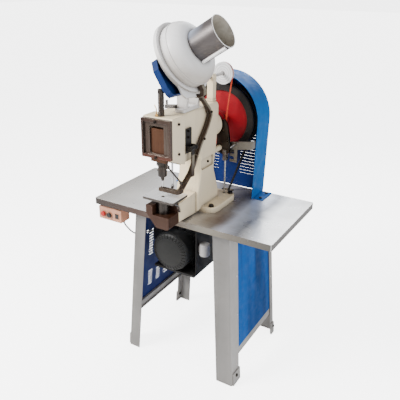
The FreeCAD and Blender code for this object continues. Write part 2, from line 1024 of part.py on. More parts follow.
def side_panel(panel_bottom, vented):
    def edge(z):
        return leg_y(z) - leg_sheet * 3
    top = table_bottom - panel_top_gap
    outline = [(-edge(panel_bottom), panel_bottom), (edge(panel_bottom), panel_bottom),
               (edge(top), top), (-edge(top), top)]
    panel = leaning_plate(outline, leg_sheet + seat_gap / 2, panel_sheet)
    cutters = []
    for seat in panel_screw_seats():
        cutters.append(rod(seat - side_normal() * leg_sheet * 3, seat + side_normal() * over,
                           dome_shank_radius + run_gap))
    if vented:
        rows = [louvre_upper_start + louvre_pitch * row for row in range(louvre_upper_rows)]
        rows += [louvre_lower_start + louvre_pitch * row for row in range(louvre_lower_rows)]
        for spot in louvre_column_spots:
            for z in rows:
                x = leg_x(z)
                cutters.append(box(x - leg_sheet * 4, x + over, spot, spot + louvre_length, z,
                                   z + louvre_height))
        cutters.append(rod(V(leg_x(lead_hole_z) - leg_sheet * 4, lead_hole_y, lead_hole_z),
                           V(leg_x(lead_hole_z) + over, lead_hole_y, lead_hole_z),
                           lead_hole_radius))
    return carved(panel, *cutters)


def shifted(solid):
    """The stand sits a little behind the middle of the table."""
    return solid.translated(V(0, stand_middle_y, 0))


def stand():
    table()
    right = side_frame(right_rail_bottom, right_leg_front_width)
    keep("side_frame_right", shifted(right))
    left = side_frame(left_rail_bottom, left_leg_front_width)
    keep("side_frame_left", flipped(shifted(left)))
    keep("side_panel_right", shifted(side_panel(right_panel_bottom, False)))
    keep("side_panel_left", flipped(shifted(side_panel(left_panel_bottom, True))))
    screws = []
    for seat in panel_screw_seats():
        screw = shifted(dome_screw(seat, side_normal(), leg_sheet + panel_sheet + seat_gap))
        screws.append(screw)
        screws.append(flipped(screw))
    keep("panel_screws", *screws)


def hex_bolts():
    bolts = []
    up = V(0, 0, 1)
    for x, y in base_bolt_places():
        bolts.append(hex_bolt(V(x, y, base_top), up, base_thickness + table_thickness,
                              bolt_radius, bolt_head_width, bolt_head_height, washer_thickness))
    for x, y in guard_bolt_places():
        bolts.append(hex_screw(V(x, y, table_height + guard_flange_thickness), up,
                               guard_screw_reach, small_bolt_radius, small_head_width,
                               small_head_height))
    for seat in foot_bolt_seats():
        bolt = shifted(hex_bolt(seat, side_normal(), leg_sheet + foot_plate_thickness,
                                small_bolt_radius, small_head_width, small_head_height, 0))
        bolts += [bolt, flipped(bolt)]
    bolts.append(bar_bolt())
    keep("hex_bolts", *bolts)


def softened(solid, radius, axis, levels):
    """Round the edges that lie in the end faces square to an axis."""
    edges = []
    for edge in solid.Edges:
        bounds = edge.BoundBox
        low = {"x": bounds.XMin, "y": bounds.YMin, "z": bounds.ZMin}[axis]
        high = {"x": bounds.XMax, "y": bounds.YMax, "z": bounds.ZMax}[axis]
        for level in levels:
            if abs(low - level) < tiny * 10 and abs(high - level) < tiny * 10:
                edges.append(edge)
    return solid.makeFillet(radius, edges)


# Frame casting

def shaft_point(y, radius_x=0, rise=0):
    return V(radius_x, y, shaft_height + rise)


def frame_body():
    middle = table_height + base_thickness / 2
    base = slab(plate_outline(-base_half_x, base_half_x, base_front_y, base_rear_y, base_corner),
                "xy", table_height, base_top)
    base = softened(base, small_edge, "z", [base_top])
    neck = (arm_top + shaft_height) / 2
    outline = [
        (column_front_y - column_flare, middle),
        (column_front_y - column_flare, column_flare_top, column_bend),
        (column_front_y, column_waist_z, column_bend),
        (column_front_y, arm_bottom, column_round),
        (head_neck_y, arm_bottom),
        (head_neck_y, arm_top),
        (arm_rear_y, arm_top, column_round),
        (arm_rear_y, neck),
        (column_rear_y, arm_bottom, column_bend),
        (column_waist_y, column_waist_z, column_bend),
        (column_rear_foot_y - bolt_radius, column_rear_flare_z, column_bend),
        (column_rear_foot_y, middle)]
    column = slab(outline, "yz", -column_half_x, column_half_x)
    column = softened(column, casting_edge, "x", [-column_half_x, column_half_x])
    head_outline = [
        (head_front_y, head_front_bottom, head_corner / 2),
        (head_front_y, arm_top, head_corner),
        (head_rear_y, arm_top, head_corner * 2),
        (head_rear_y, arm_bottom, head_corner)]
    head = slab(head_outline, "yz", -head_half_x, head_half_x)
    horn_side = [
        (horn_root_y, table_height + seat_gap * 4),
        (horn_front_y, horn_front_bottom),
        (horn_front_y, horn_front_top),
        (column_front_y - column_round, horn_rear_top, horn_bend),
        (horn_root_y, horn_rear_top)]
    horn = slab(horn_side, "yz", -horn_half_x, horn_half_x)
    horn_plan = [(-horn_half_x, horn_root_y + over), (-horn_tip_half_x, horn_front_y - over),
                 (horn_tip_half_x, horn_front_y - over), (horn_half_x, horn_root_y + over)]
    horn = horn.common(slab(horn_plan, "xy", table_height - over, arm_bottom))
    boss = rod(shaft_point(column_front_y), shaft_point(boss_end_y), boss_radius)
    return joined(base, column, head, horn, boss)


def head_room():
    """Room in the head for the slide, its foot, the collar and the crank."""
    wide = slide_half_x + slide_gap
    low = head_front_bottom - chuck_height
    way = box(-wide, wide, head_front_y - over, slide_rear_y + slide_gap, low, way_top)
    foot = box(-foot_half_width - slide_gap, foot_half_width + slide_gap, head_front_y,
               ram_y + neck_radius + crank_room, low, slide_bottom + foot_height + over)
    collar = rod(V(0, ram_y, low), V(0, ram_y, slide_bottom + seat_gap), collar_radius + over)
    crank = rod(shaft_point(slide_rear_y - seat_gap), shaft_point(crank_disc_rear + over),
                crank_disc_radius + crank_room)
    return [way, foot, collar, crank]


def machine_frame():
    cutters = head_room()
    cutters.append(rod(shaft_point(crank_disc_rear), shaft_point(boss_end_y + over),
                       bush_outer_radius))
    for x, y in base_bolt_places():
        cutters.append(rod(V(x, y, table_height - over), V(x, y, base_top + over),
                           bolt_radius + run_gap))
    pocket = plate_outline(pocket_front_y, pocket_rear_y, pocket_bottom, pocket_top, pocket_corner)
    cutters.append(slab(pocket, "yz", column_half_x - pocket_depth, column_half_x + over))
    cutters.append(slab(pocket, "yz", -column_half_x - over, pocket_depth - column_half_x))
    for seat, axis in casting_screw_places() + track_screw_places():
        cutters.append(screw_hole(seat, axis, socket_reach))
    cutters.append(rod(V(stop_rod_x, stop_rod_y, stop_rod_low),
                       V(stop_rod_x, stop_rod_y, stop_rod_top() + seat_gap),
                       stop_rod_radius + run_gap))
    cutters.append(rod(V(trip_rod_x, trip_rod_y(), table_height - over),
                       V(trip_rod_x, trip_rod_y(), base_top + over), trip_rod_hole))
    cutters.append(rod(V(0, ram_y, arm_top - barrel_depth), V(0, ram_y, arm_top + over),
                       barrel_radius + run_gap))
    cutters.append(rod(V(oiler_x, oiler_y, way_top - over), V(oiler_x, oiler_y, arm_top + over),
                       oiler_pipe_radius + run_gap))
    body = carved(frame_body(), *cutters)
    pin = rod(V(trip_pivot_x, column_waist_y - over, trip_pivot_z),
              V(trip_pivot_x, bar_y + bar_thickness, trip_pivot_z), trip_pin_radius)
    shoulder = rod(V(trip_pivot_x, column_waist_y - over, trip_pivot_z),
                   V(trip_pivot_x, trip_y - seat_gap, trip_pivot_z), trip_pin_radius * 2)
    keep("machine_frame", joined(body, shoulder, pin))


def casting_screw_places():
    """Seats and outward ways of the round head screws in the casting."""
    places = []
    for side in (-1, 1):
        for z in (side_screw_low, side_screw_high):
            places.append((V(side * head_half_x, side_screw_y, z), V(side, 0, 0)))
        places.append((V(side * (column_half_x - pocket_depth), pocket_bolt_y, pocket_bolt_z),
                       V(side, 0, 0)))
    return places


def cover_screw_places():
    high = (cover_window_top + cover_top) / 2
    low = (cover_bottom + cover_window_bottom) / 2
    return [(V(0, head_front_y - cover_thickness, z), V(0, -1, 0)) for z in (low, high)]


def head_cover():
    front = head_front_y - cover_thickness
    block = slab(plate_outline(-head_half_x, head_half_x, cover_bottom, cover_top, head_corner / 2),
                 "xz", front, head_front_y)
    inner = head_half_x - cover_rim_side
    recess = slab(plate_outline(-inner, inner, cover_bottom + cover_rim_top,
                                cover_top - cover_rim_top, small_edge),
                  "xz", front - over, head_front_y - cover_plate)
    window = slab(plate_outline(-cover_window_half, cover_window_half,
                                cover_window_bottom + cover_rim_side,
                                cover_window_top - cover_rim_side, small_edge),
                  "xz", front - over, head_front_y + over)
    holes = [screw_hole(seat, axis, socket_reach * 2) for seat, axis in cover_screw_places()]
    keep("head_cover", carved(block, recess, window, *holes))


def socket_screws():
    screws = []
    for seat, axis in casting_screw_places() + track_screw_places():
        screws.append(socket_screw(seat, axis, socket_reach))
    for seat, axis in cover_screw_places():
        screws.append(socket_screw(seat, axis, cover_thickness))
    keep("socket_screws", *screws)


def shaft_bushes():
    bushes = []
    for start, way in ((boss_end_y, -1), (crank_disc_rear + crank_room, 1)):
        end = start + way * bush_length
        bush = tube(shaft_point(start), shaft_point(end), bush_outer_radius - run_gap,
                    shaft_radius + run_gap)
        bushes.append(bush)
    keep("shaft_bushes", *bushes)


# Crank and ram

def crankshaft():
    shaft = rod(shaft_point(crank_disc_rear - over), shaft_point(shaft_end_y), shaft_radius)
    disc = rod(shaft_point(crank_disc_front), shaft_point(crank_disc_rear), crank_disc_radius)
    throw = stroke / 2
    pin = rod(shaft_point(slide_rear_y + crank_pin_gap, 0, throw),
              shaft_point(crank_disc_rear, 0, throw), crank_pin_radius)
    nut = hexagon(shaft_point(flywheel_rear_y + seat_gap + washer_thickness), V(0, 1, 0),
                  shaft_nut_radius * 2, shaft_nut_length)
    washer = rod(shaft_point(flywheel_rear_y + seat_gap),
                 shaft_point(flywheel_rear_y + seat_gap + washer_thickness), shaft_nut_radius)
    keep("crankshaft", joined(shaft, disc, pin, nut, washer))


def ram():
    front = head_front_y + slide_gap
    plate = box(-slide_half_x, slide_half_x, front, slide_rear_y, slide_bottom, slide_top)
    foot = box(-foot_half_width, foot_half_width, slide_rear_y - over,
               ram_y + neck_radius + over, slide_bottom, slide_bottom + foot_height)
    bore = rod(V(0, ram_y, slide_bottom - over), V(0, ram_y, slide_bottom + foot_height + over),
               neck_radius + run_gap)
    keep("ram_slide", joined(plate, foot).cut(bore))
    top = slide_bottom + foot_height
    collar = spun([(0, collar_bottom), (collar_radius - small_edge / 2, collar_bottom),
                   (collar_radius, collar_bottom + small_edge / 2),
                   (collar_radius, slide_bottom - small_edge / 2),
                   (collar_radius - small_edge / 2, slide_bottom),
                   (neck_radius, slide_bottom), (neck_radius, top), (0, top)],
                  V(0, ram_y, 0), V(0, 0, 1))
    keep("ram_spindle", collar)
    chuck = spun([(0, cone_bottom), (cone_tip_radius, cone_bottom),
                  (cone_radius, chuck_bottom - cone_height / 2), (cone_radius, chuck_bottom),
                  (chuck_radius - chuck_cut, chuck_bottom), (chuck_radius, chuck_bottom + chuck_cut),
                  (chuck_radius, collar_bottom - chuck_cut),
                  (chuck_radius - chuck_cut, collar_bottom), (0, collar_bottom)],
                 V(0, ram_y, 0), V(0, 0, 1))
    seat = V(-chuck_radius, ram_y, (chuck_bottom + collar_bottom) / 2)
    screw = joined(rod(seat + V(over, 0, 0), seat - V(socket_head_height, 0, 0), socket_head_radius),
                   chuck)
    bore = rod(V(0, ram_y, cone_bottom - over), V(0, ram_y, cone_bottom + needle_in + stroke / 4),
               needle_radius + needle_run)
    keep("needle_chuck", screw.cut(bore))
    tip = cone_bottom - needle_out
    needle = spun([(0, tip), (needle_radius / 2, tip), (needle_radius, tip + needle_radius * 3),
                   (needle_radius, cone_bottom + needle_in), (0, cone_bottom + needle_in)],
                  V(0, ram_y, 0), V(0, 0, 1))
    keep("needle", needle)


def stop_rod_top():
    return head_front_bottom - small_edge


def stop_rod():
    top = stop_rod_top()
    stem = rod(V(stop_rod_x, stop_rod_y, stop_rod_low), V(stop_rod_x, stop_rod_y, top),
               stop_rod_radius)
    knob = spun([(0, stop_rod_low - stop_knob_height), (stop_knob_radius - over / 2,
                 stop_rod_low - stop_knob_height), (stop_knob_radius, stop_rod_low - over * 4),
                 (stop_knob_radius, stop_rod_low), (0, stop_rod_low)],
                V(stop_rod_x, stop_rod_y, 0), V(0, 0, 1))
    keep("side_rod", joined(stem, knob))


def head_top():
    rings = [(0, arm_top - barrel_depth + seat_gap), (barrel_radius, arm_top - barrel_depth + seat_gap)]
    z = arm_top + barrel_thread_pitch
    while z < barrel_top - barrel_cap - barrel_thread_pitch:
        rings += [(barrel_radius, z), (barrel_radius - barrel_thread_depth,
                  z + barrel_thread_pitch / 4),
                  (barrel_radius - barrel_thread_depth, z + barrel_thread_pitch / 2),
                  (barrel_radius, z + barrel_thread_pitch * 3 / 4)]
        z += barrel_thread_pitch
    rings += [(barrel_radius, barrel_top - over), (barrel_radius - over, barrel_top), (0, barrel_top)]
    keep("adjusting_barrel", spun(rings, V(0, ram_y, 0), V(0, 0, 1)))
    front = stay_front_y + barrel_radius / 2
    rear_top = arm_top + seat_gap + stay_height
    outline = [
        (front, arm_top + stay_front_rise), (front, arm_top + stay_front_rise + stay_height, over),
        (stay_rear_y - stay_pad, rear_top), (stay_rear_y, rear_top, over),
        (stay_rear_y, arm_top), (stay_rear_y - stay_pad, arm_top)]
    bar = slab(outline, "yz", 0, stay_thickness)
    knob_y = front + stay_knob_radius * 2
    foot = arm_top + stay_front_rise + stay_height - over * 2
    knob = rod(V(stay_thickness / 2, knob_y, foot),
               V(stay_thickness / 2, knob_y, foot + over * 2 + stay_knob_height), stay_knob_radius)
    keep("stay_bar", joined(bar, knob))
    base = V(oiler_x, oiler_y, arm_top)
    cup = hexagon(base, V(0, 0, 1), oiler_base_radius * 2, oiler_base_height)
    rise = V(oiler_x, oiler_y, arm_top + oiler_height - oiler_bend)
    end = V(oiler_x - oiler_bend, oiler_y + oiler_bend / 2, arm_top + oiler_height)
    pipe = rod(V(oiler_x, oiler_y, way_top), rise, oiler_pipe_radius)
    bend = rod(rise, end, oiler_pipe_radius)
    knee = Part.makeSphere(oiler_pipe_radius, rise)
    keep("oil_nipple", joined(cup, pipe, bend, knee))


# Anvil

def anvil():
    rear = horn_front_y
    cut_x = anvil_left + (anvil_right - anvil_left) * anvil_left_cut_share
    outline = [
        (anvil_left, anvil_top, over), (anvil_left, anvil_chin, small_edge),
        (cut_x, horn_front_bottom, anvil_corner), (anvil_right, horn_front_bottom, anvil_corner),
        (anvil_right, anvil_top, over)]
    block = slab(outline, "xz", anvil_front_y, rear)
    pocket = box(ear_inner_x, anvil_right + over, anvil_front_y - over, back_wall_y,
                 anvil_seat, anvil_top + over)
    bore = rod(V(0, ram_y, anvil_post_bottom - seat_gap), V(0, ram_y, anvil_top + over),
               anvil_post_radius + run_gap)
    screw_way = rod(V(anvil_left - over, ram_y, thumb_height), V(0, ram_y, thumb_height),
                    thumb_radius + run_gap)
    keep("anvil_block", carved(block, pocket, bore, screw_way))
    post = rod(V(0, ram_y, anvil_post_bottom), V(0, ram_y, plate_bottom), anvil_post_radius)
    die = rod(V(0, ram_y, anvil_post_bottom), V(0, ram_y, plate_top + die_rise), die_radius)
    hole = rod(V(0, ram_y, anvil_post_bottom - over), V(0, ram_y, plate_top + die_rise + over),
               die_bore)
    keep("anvil_post", joined(post, die).cut(hole))
    head_end = anvil_left - thumb_out
    shank = rod(V(head_end - over, ram_y, thumb_height),
                V(-anvil_post_radius - seat_gap, ram_y, thumb_height), thumb_radius)
    head = rod(V(head_end - thumb_head_length, ram_y, thumb_height),
               V(head_end, ram_y, thumb_height), thumb_head_radius)
    notches = []
    for turn in range(12):
        angle = 2 * math.pi * turn / 12
        centre = V(0, math.cos(angle) * thumb_head_radius, math.sin(angle) * thumb_head_radius)
        start = V(head_end - thumb_head_length - over, ram_y, thumb_height) + centre
        notches.append(rod(start, start + V(thumb_head_length + over * 2, 0, 0),
                           thumb_head_radius / 9))
    keep("thumb_screw", joined(shank, head.cut(notches)))
    corners = plate_outline(-plate_half_x, plate_half_x, plate_front_y, plate_rear_y, plate_corner)
    plate = slab(corners, "xy", plate_bottom, plate_top)
    hole = rod(V(0, ram_y, plate_bottom - over), V(0, ram_y, plate_top + over), plate_hole_radius)
    keep("work_plate", plate.cut(hole))
    top = plate_bottom - strap_thickness / 2
    points = [(anvil_front_y + strap_reach, top), (ram_y - strap_reach, top - over),
              (back_wall_y - strap_thickness, anvil_top - strap_thickness),
              (horn_front_y - strap_thickness, anvil_seat + strap_thickness)]
    keep("plate_bracket", slab(ribbon(points, -strap_thickness / 2, strap_thickness / 2), "yz",
                               anvil_right, anvil_right + strap_width))


# Hopper

def spun_curve(profile, base, axis):
    """Revolved profile where a point of four numbers ends an arc through the last two."""
    edges = []
    count = len(profile)
    for index in range(count):
        here = profile[index]
        last = profile[index - 1]
        start = V(last[0], 0, last[1])
        end = V(here[0], 0, here[1])
        if len(here) == 4:
            edges.append(Part.Arc(start, V(here[2], 0, here[3]), end).toShape())
        else:
            edges.append(Part.LineSegment(start, end).toShape())
    solid = Part.Face(Part.Wire(edges)).revolve(V(0, 0, 0), V(0, 0, 1), whole_turn)
    solid.Placement = FreeCAD.Placement(base, FreeCAD.Rotation(V(0, 0, 1), axis))
    return solid


def disc_slab(points, start, end):
    """An outline in the plane of the hopper, (sideways, rise), along its axis."""
    corners = [hopper_point(start, rise, side) for side, rise in points]
    face = Part.Face(Part.makePolygon(corners + [corners[0]]))
    return face.extrude(hopper_axis * (end - start))


def bowl():
    inner = bowl_radius - bowl_wall
    half = math.sqrt(0.5)
    outer_mid = (mouth_radius + (bowl_radius - mouth_radius) * half, dome_out * half)
    inner_mid = (mouth_radius - bowl_wall + (bowl_radius - mouth_radius) * half,
                 (dome_out - bowl_wall / 2) * half)
    profile = [
        (inner, -bowl_depth), (bowl_radius, -bowl_depth), (bowl_radius, -bowl_lip_width),
        (bowl_radius + bowl_lip, -bowl_lip_width), (bowl_radius + bowl_lip, bowl_lip_width),
        (bowl_radius, bowl_lip_width),
        (mouth_radius, dome_out, outer_mid[0], outer_mid[1]),
        (mouth_radius - bowl_wall, dome_out),
        (inner, 0, inner_mid[0], inner_mid[1])]
    shell = spun_curve(profile, hopper_middle, hopper_axis)
    half_exit = bowl_exit_width / 2
    gate = disc_slab([(-half_exit, -bowl_radius - over * 2), (half_exit, -bowl_radius - over * 2),
                      (half_exit, -inner + over * 2), (-half_exit, -inner + over * 2)],
                     -bowl_exit_length - bowl_lip_width * 2, -bowl_lip_width * 2)
    keep("hopper_bowl", shell.cut(gate))


def funnel():
    start = dome_out + seat_gap
    end = start + funnel_length
    inner = mouth_radius - funnel_wall
    lip = funnel_lip
    shell = spun([
        (inner, start), (mouth_radius, start), (mouth_radius, end - lip * 2),
        (mouth_radius + lip * 0.7, end - lip * 1.7), (mouth_radius + lip, end - lip),
        (mouth_radius + lip * 0.7, end - lip * 0.3), (mouth_radius, end),
        (inner, end - lip * 0.3)], hopper_middle, hopper_axis)
    swing = math.radians(seam_swing)
    out = hopper_up * -math.cos(swing) + V(0, -math.sin(swing), 0)
    side = hopper_axis.cross(out).normalize()
    middle = hopper_middle + hopper_axis * (start + lip)
    low = middle + out * (mouth_radius - funnel_wall / 2)
    high = middle + out * (mouth_radius + seam_thickness)
    corners = [low - side * (seam_width / 2), low + side * (seam_width / 2),
               high + side * (seam_width / 3), high - side * (seam_width / 3)]
    face = Part.Face(Part.makePolygon(corners + [corners[0]]))
    seam = face.extrude(hopper_axis * (funnel_length - lip * 4))
    keep("hopper_funnel", joined(shell, seam))


def carrier():
    front = carrier_back - carrier_plate
    bore = brush_shaft_radius + run_gap
    inner = bowl_radius + seat_gap
    profile = [(bore, -hub_back), (hub_radius, -hub_back), (hub_radius, -carrier_back),
               (carrier_radius, -carrier_back), (carrier_radius, -carrier_rim),
               (inner, -carrier_rim), (inner, -front), (bore, -front)]
    dish = spun(profile, hopper_middle, hopper_axis)
    wide = carrier_radius
    leg_points = [(-0.74 * wide, -0.50 * wide), (-0.72 * wide, -0.95 * wide),
                  (-0.62 * wide, -1.06 * wide), (-0.16 * wide, -1.10 * wide),
                  (-0.12 * wide, -0.80 * wide)]
    leg_plate = disc_slab(leg_points, -carrier_back, -front - seat_gap)
    inside = rod(hopper_point(-front, 0), hopper_point(0, 0), inner)
    leg_plate = leg_plate.cut(inside)
    foot_outline = plate_outline(mount_foot_left, mount_foot_right, mount_foot_front_y,
                                 mount_foot_rear_y, small_edge)
    foot = slab(foot_outline, "xy", arm_top, arm_top + mount_foot_height)
    pieces = [dish, leg_plate, foot]
    middle = arm_top + mount_foot_height / 2
    deep = -(carrier_back + front) / 2
    low = hopper_point(deep, -0.90 * wide)
    high = hopper_point(deep, -0.60 * wide)
    peak = hopper_point(-wheel_back - hub_radius / 3, -worm_drop + worm_shaft_radius * 1.8)
    outline = [(mount_foot_right, middle), (low.x, low.z), (high.x, high.z), (peak.x, peak.z),
               (mount_foot_left, middle)]
    for front_y in (front_web_y - web_thickness, rear_web_y):
        pieces.append(slab(outline, "xz", front_y, front_y + web_thickness))
    casting = joined(*pieces)
    way = rod(V(worm_x, mount_foot_front_y, worm_z), V(worm_x, mount_foot_rear_y, worm_z),
              worm_shaft_radius + run_gap)
    bore_line = rod(hopper_point(-hub_back - over, 0), hopper_point(0, 0), bore)
    keep("hopper_carrier", carved(casting, way, bore_line))


def brush():
    core = spun([(brush_shaft_radius + run_gap / 2, -brush_back), (brush_core_radius, -brush_back),
                 (brush_core_radius, -brush_front), (brush_shaft_radius + run_gap / 2, -brush_front)],
                hopper_middle, hopper_axis)
    bars = []
    for turn in range(brush_bars):
        angle = 2 * math.pi * (turn + 0.5) / brush_bars
        out = hopper_up * math.cos(angle) + V(0, math.sin(angle), 0)
        side = hopper_axis.cross(out).normalize() * (brush_bar / 2)
        start = hopper_middle - hopper_axis * (brush_back - brush_gap) + out * (brush_core_radius - over)
        reach = out * (brush_radius - brush_core_radius + over)
        corners = [start - side, start + side, start + side + reach, start - side + reach]
        face = Part.Face(Part.makePolygon(corners + [corners[0]]))
        bars.append(face.extrude(hopper_axis * (brush_back - brush_front - brush_gap * 2)))
    keep("hopper_brush", joined(core, *bars))
    points = []
    steps = wheel_teeth * 4
    for step in range(steps):
        radius = wheel_radius if step % 4 in (0, 1) else wheel_root
        angle = 2 * math.pi * step / steps
        points.append((radius * math.sin(angle), radius * math.cos(angle)))
    rim = disc_slab(points, -wheel_back, -wheel_front)
    hub = rod(hopper_point(-wheel_back - over, 0), hopper_point(-hub_back - seat_gap, 0),
              wheel_hub_radius)
    shaft = rod(hopper_point(-wheel_back - over, 0), hopper_point(-brush_front, 0),
                brush_shaft_radius)
    keep("worm_wheel", joined(rim, hub, shaft))


def worm():
    start = hopper_y - worm_length / 2
    end = hopper_y + worm_length / 2
    shaft_end = small_belt_y + small_pulley_width / 2 + seat_gap * 3
    profile = [(0, worm_shaft_front_y), (worm_shaft_radius, worm_shaft_front_y),
               (worm_shaft_radius, start), (worm_radius, start)]
    y = start + worm_groove
    while y < end - worm_pitch:
        profile += [(worm_radius, y), (worm_radius - worm_groove, y + worm_groove),
                    (worm_radius - worm_groove, y + worm_groove * 2),
                    (worm_radius, y + worm_groove * 3)]
        y += worm_pitch
    profile += [(worm_radius, end), (worm_shaft_radius, end), (worm_shaft_radius, shaft_end),
                (0, shaft_end)]
    keep("worm_shaft", spun(profile, V(worm_x, 0, worm_z), V(0, 1, 0)))
    keep("hopper_pulley", grooved_wheel(V(worm_x, 0, worm_z), worm_shaft_radius))


def grooved_wheel(centre, bore):
    """A wheel with a round groove for the small belt."""
    front = small_belt_y - small_pulley_width / 2
    rear = small_belt_y + small_pulley_width / 2
    outer = small_pulley_radius + small_pulley_rim
    bottom = small_pulley_radius - round_belt_radius - run_gap
    side = round_belt_radius * 1.5
    return spun([(bore, front), (outer, front), (outer, small_belt_y - side),
                 (bottom, small_belt_y - round_belt_radius * 0.8),
                 (bottom, small_belt_y + round_belt_radius * 0.8),
                 (outer, small_belt_y + side), (outer, rear), (bore, rear)],
                centre, V(0, 1, 0))


def gear_cover():
    points = [(side * carrier_radius, rise * carrier_radius) for side, rise in cover_outline_shares]
    near = -carrier_back - seat_gap
    shell = disc_slab(points, near - cover_depth, near)
    mean_side = sum(point[0] for point in points) / len(points)
    mean_rise = sum(point[1] for point in points) / len(points)
    inner = []
    for side, rise in points:
        way = V(side - mean_side, rise - mean_rise, 0)
        shrink = 1 - cover_sheet * 1.3 / way.Length
        inner.append((mean_side + way.x * shrink, mean_rise + way.y * shrink))
    hollow = disc_slab(inner, near - cover_depth + cover_sheet, near + over)
    keep("gear_cover", shell.cut(hollow))


def drive_bracket():
    eye = bracket_eye_radius
    outline = [(bracket_left, arm_top), (bracket_right, arm_top),
               (worm_x + eye, worm_z, over), (worm_x + eye, worm_z + eye, eye * 0.98),
               (worm_x - eye, worm_z + eye, eye * 0.98), (worm_x - eye, worm_z, over)]
    body = slab(outline, "xz", bracket_front_y, bracket_rear_y - small_edge)
    foot = box(bracket_left - small_edge, bracket_right + small_edge, bracket_front_y - casting_edge,
               arm_rear_y - casting_edge, arm_top, arm_top + small_edge * 2)
    bore = rod(V(worm_x, bracket_front_y - over, worm_z), V(worm_x, bracket_rear_y + over, worm_z),
               worm_shaft_radius + run_gap)
    keep("drive_bracket", joined(body, foot).cut(bore))


def round_belt():
    top = V(worm_x, small_belt_y, worm_z)
    bottom = V(0, small_belt_y, shaft_height)
    radius = small_pulley_radius
    pieces = []
    sides = belt_run(top, radius, bottom, radius)
    for high, low in sides:
        pieces.append(rod(high, low, round_belt_radius))
    for centre, start, sign in ((top, sides[1][0], 1), (bottom, sides[0][1], 1)):
        out = (start - centre).normalize()
        tangent = V(0, 1, 0).cross(out)
        circle = Part.Wire(Part.Circle(start, tangent, round_belt_radius).toShape())
        pieces.append(Part.Face(circle).revolve(centre, V(0, sign, 0), whole_turn / 2))
    belt = joined(*pieces)
    high, low = sides[0]
    joint = high + (low - high) * 0.83
    way = (low - high).normalize()
    clip = rod(joint - way * round_belt_radius * 2, joint + way * round_belt_radius * 2,
               round_belt_radius * 1.5)
    keep("round_belt", joined(belt, clip))


# Track

def track_stands():
    """Middles of two stretches of the upper track, where it is screwed to the casting."""
    places = []
    for index in (3, 6):
        first = upper_track_points[index]
        second = upper_track_points[index + 1]
        places.append(((first[0] + second[0]) / 2, (first[1] + second[1]) / 2))
    return places


def lug_screw_spots():
    y = (pivot_front_y + pivot_rear_y) / 2
    return [(y, lug_plate_top - socket_head_radius * 2), (y, pivot_z + lug_radius * 4)]


def track_screw_places():
    places = [(V(track_right, y, z), V(1, 0, 0)) for y, z in track_stands()]
    for y, z in lug_screw_spots():
        places.append((V(column_half_x + lug_plate, y, z), V(1, 0, 0)))
    return places


def upper_track():
    half = track_half
    band = slab(ribbon(upper_track_points, -half, half), "yz", track_left, track_right)
    middle = (track_left + track_right) / 2
    groove = slab(ribbon(upper_track_points, -half - over, track_groove_depth - half), "yz",
                  middle - track_groove_width / 2, middle + track_groove_width / 2)
    band = band.cut(groove)
    touch = -bowl_radius - seat_gap
    first = hopper_point(-bowl_exit_length - bowl_lip_width * 2, touch)
    second = hopper_point(-bowl_lip_width * 2, touch)
    third = hopper_point(-bowl_lip_width * 2, -carrier_radius - half)
    fourth = hopper_point(-bowl_exit_length - bowl_lip_width * 2, -carrier_radius - over)
    start = upper_track_points[0]
    top = start[1] + half * 1.4
    outline = [(first.x, first.z), (second.x, second.z), (third.x, third.z),
               (third.x, top), (track_right, start[1] - half), (track_left, start[1] - half),
               (track_left, top), (fourth.x, top), (fourth.x, fourth.z)]
    gate = slab(outline, "xz", hopper_y - track_width / 2, hopper_y + track_width / 2)
    bowl_room = rod(hopper_point(-bowl_depth, 0), hopper_point(bowl_lip_width, 0),
                    bowl_radius + seat_gap)
    pieces = [band, gate.cut(bowl_room)]
    for y, z in track_stands():
        pieces.append(rod(V(column_half_x, y, z), V(track_left + half, y, z), track_stand_radius))
    track = joined(*pieces)
    cutters = [screw_hole(seat, axis, track_width + over) for seat, axis in track_screw_places()]
    track = carved(track, *cutters)
    keep("feed_track_upper", track, hinge_bracket(cutters))


def hinge_bracket(cutters):
    """Plate on the casting with two lugs and the pin that the lower track swings on."""
    plate = box(column_half_x, column_half_x + lug_plate, pivot_front_y, pivot_rear_y,
                lug_plate_bottom, lug_plate_top)
    pieces = [plate]
    for y in (pivot_front_y, pivot_rear_y - lug_thickness):
        pieces.append(box(column_half_x + lug_plate / 2, pivot_x, y, y + lug_thickness,
                          pivot_z - lug_radius, pivot_z + lug_radius))
        pieces.append(rod(V(pivot_x, y, pivot_z), V(pivot_x, y + lug_thickness, pivot_z),
                          lug_radius))
    pieces.append(rod(V(pivot_x, pivot_front_y - over, pivot_z),
                      V(pivot_x, pivot_rear_y + over, pivot_z), pivot_radius))
    return carved(joined(*pieces), *cutters)


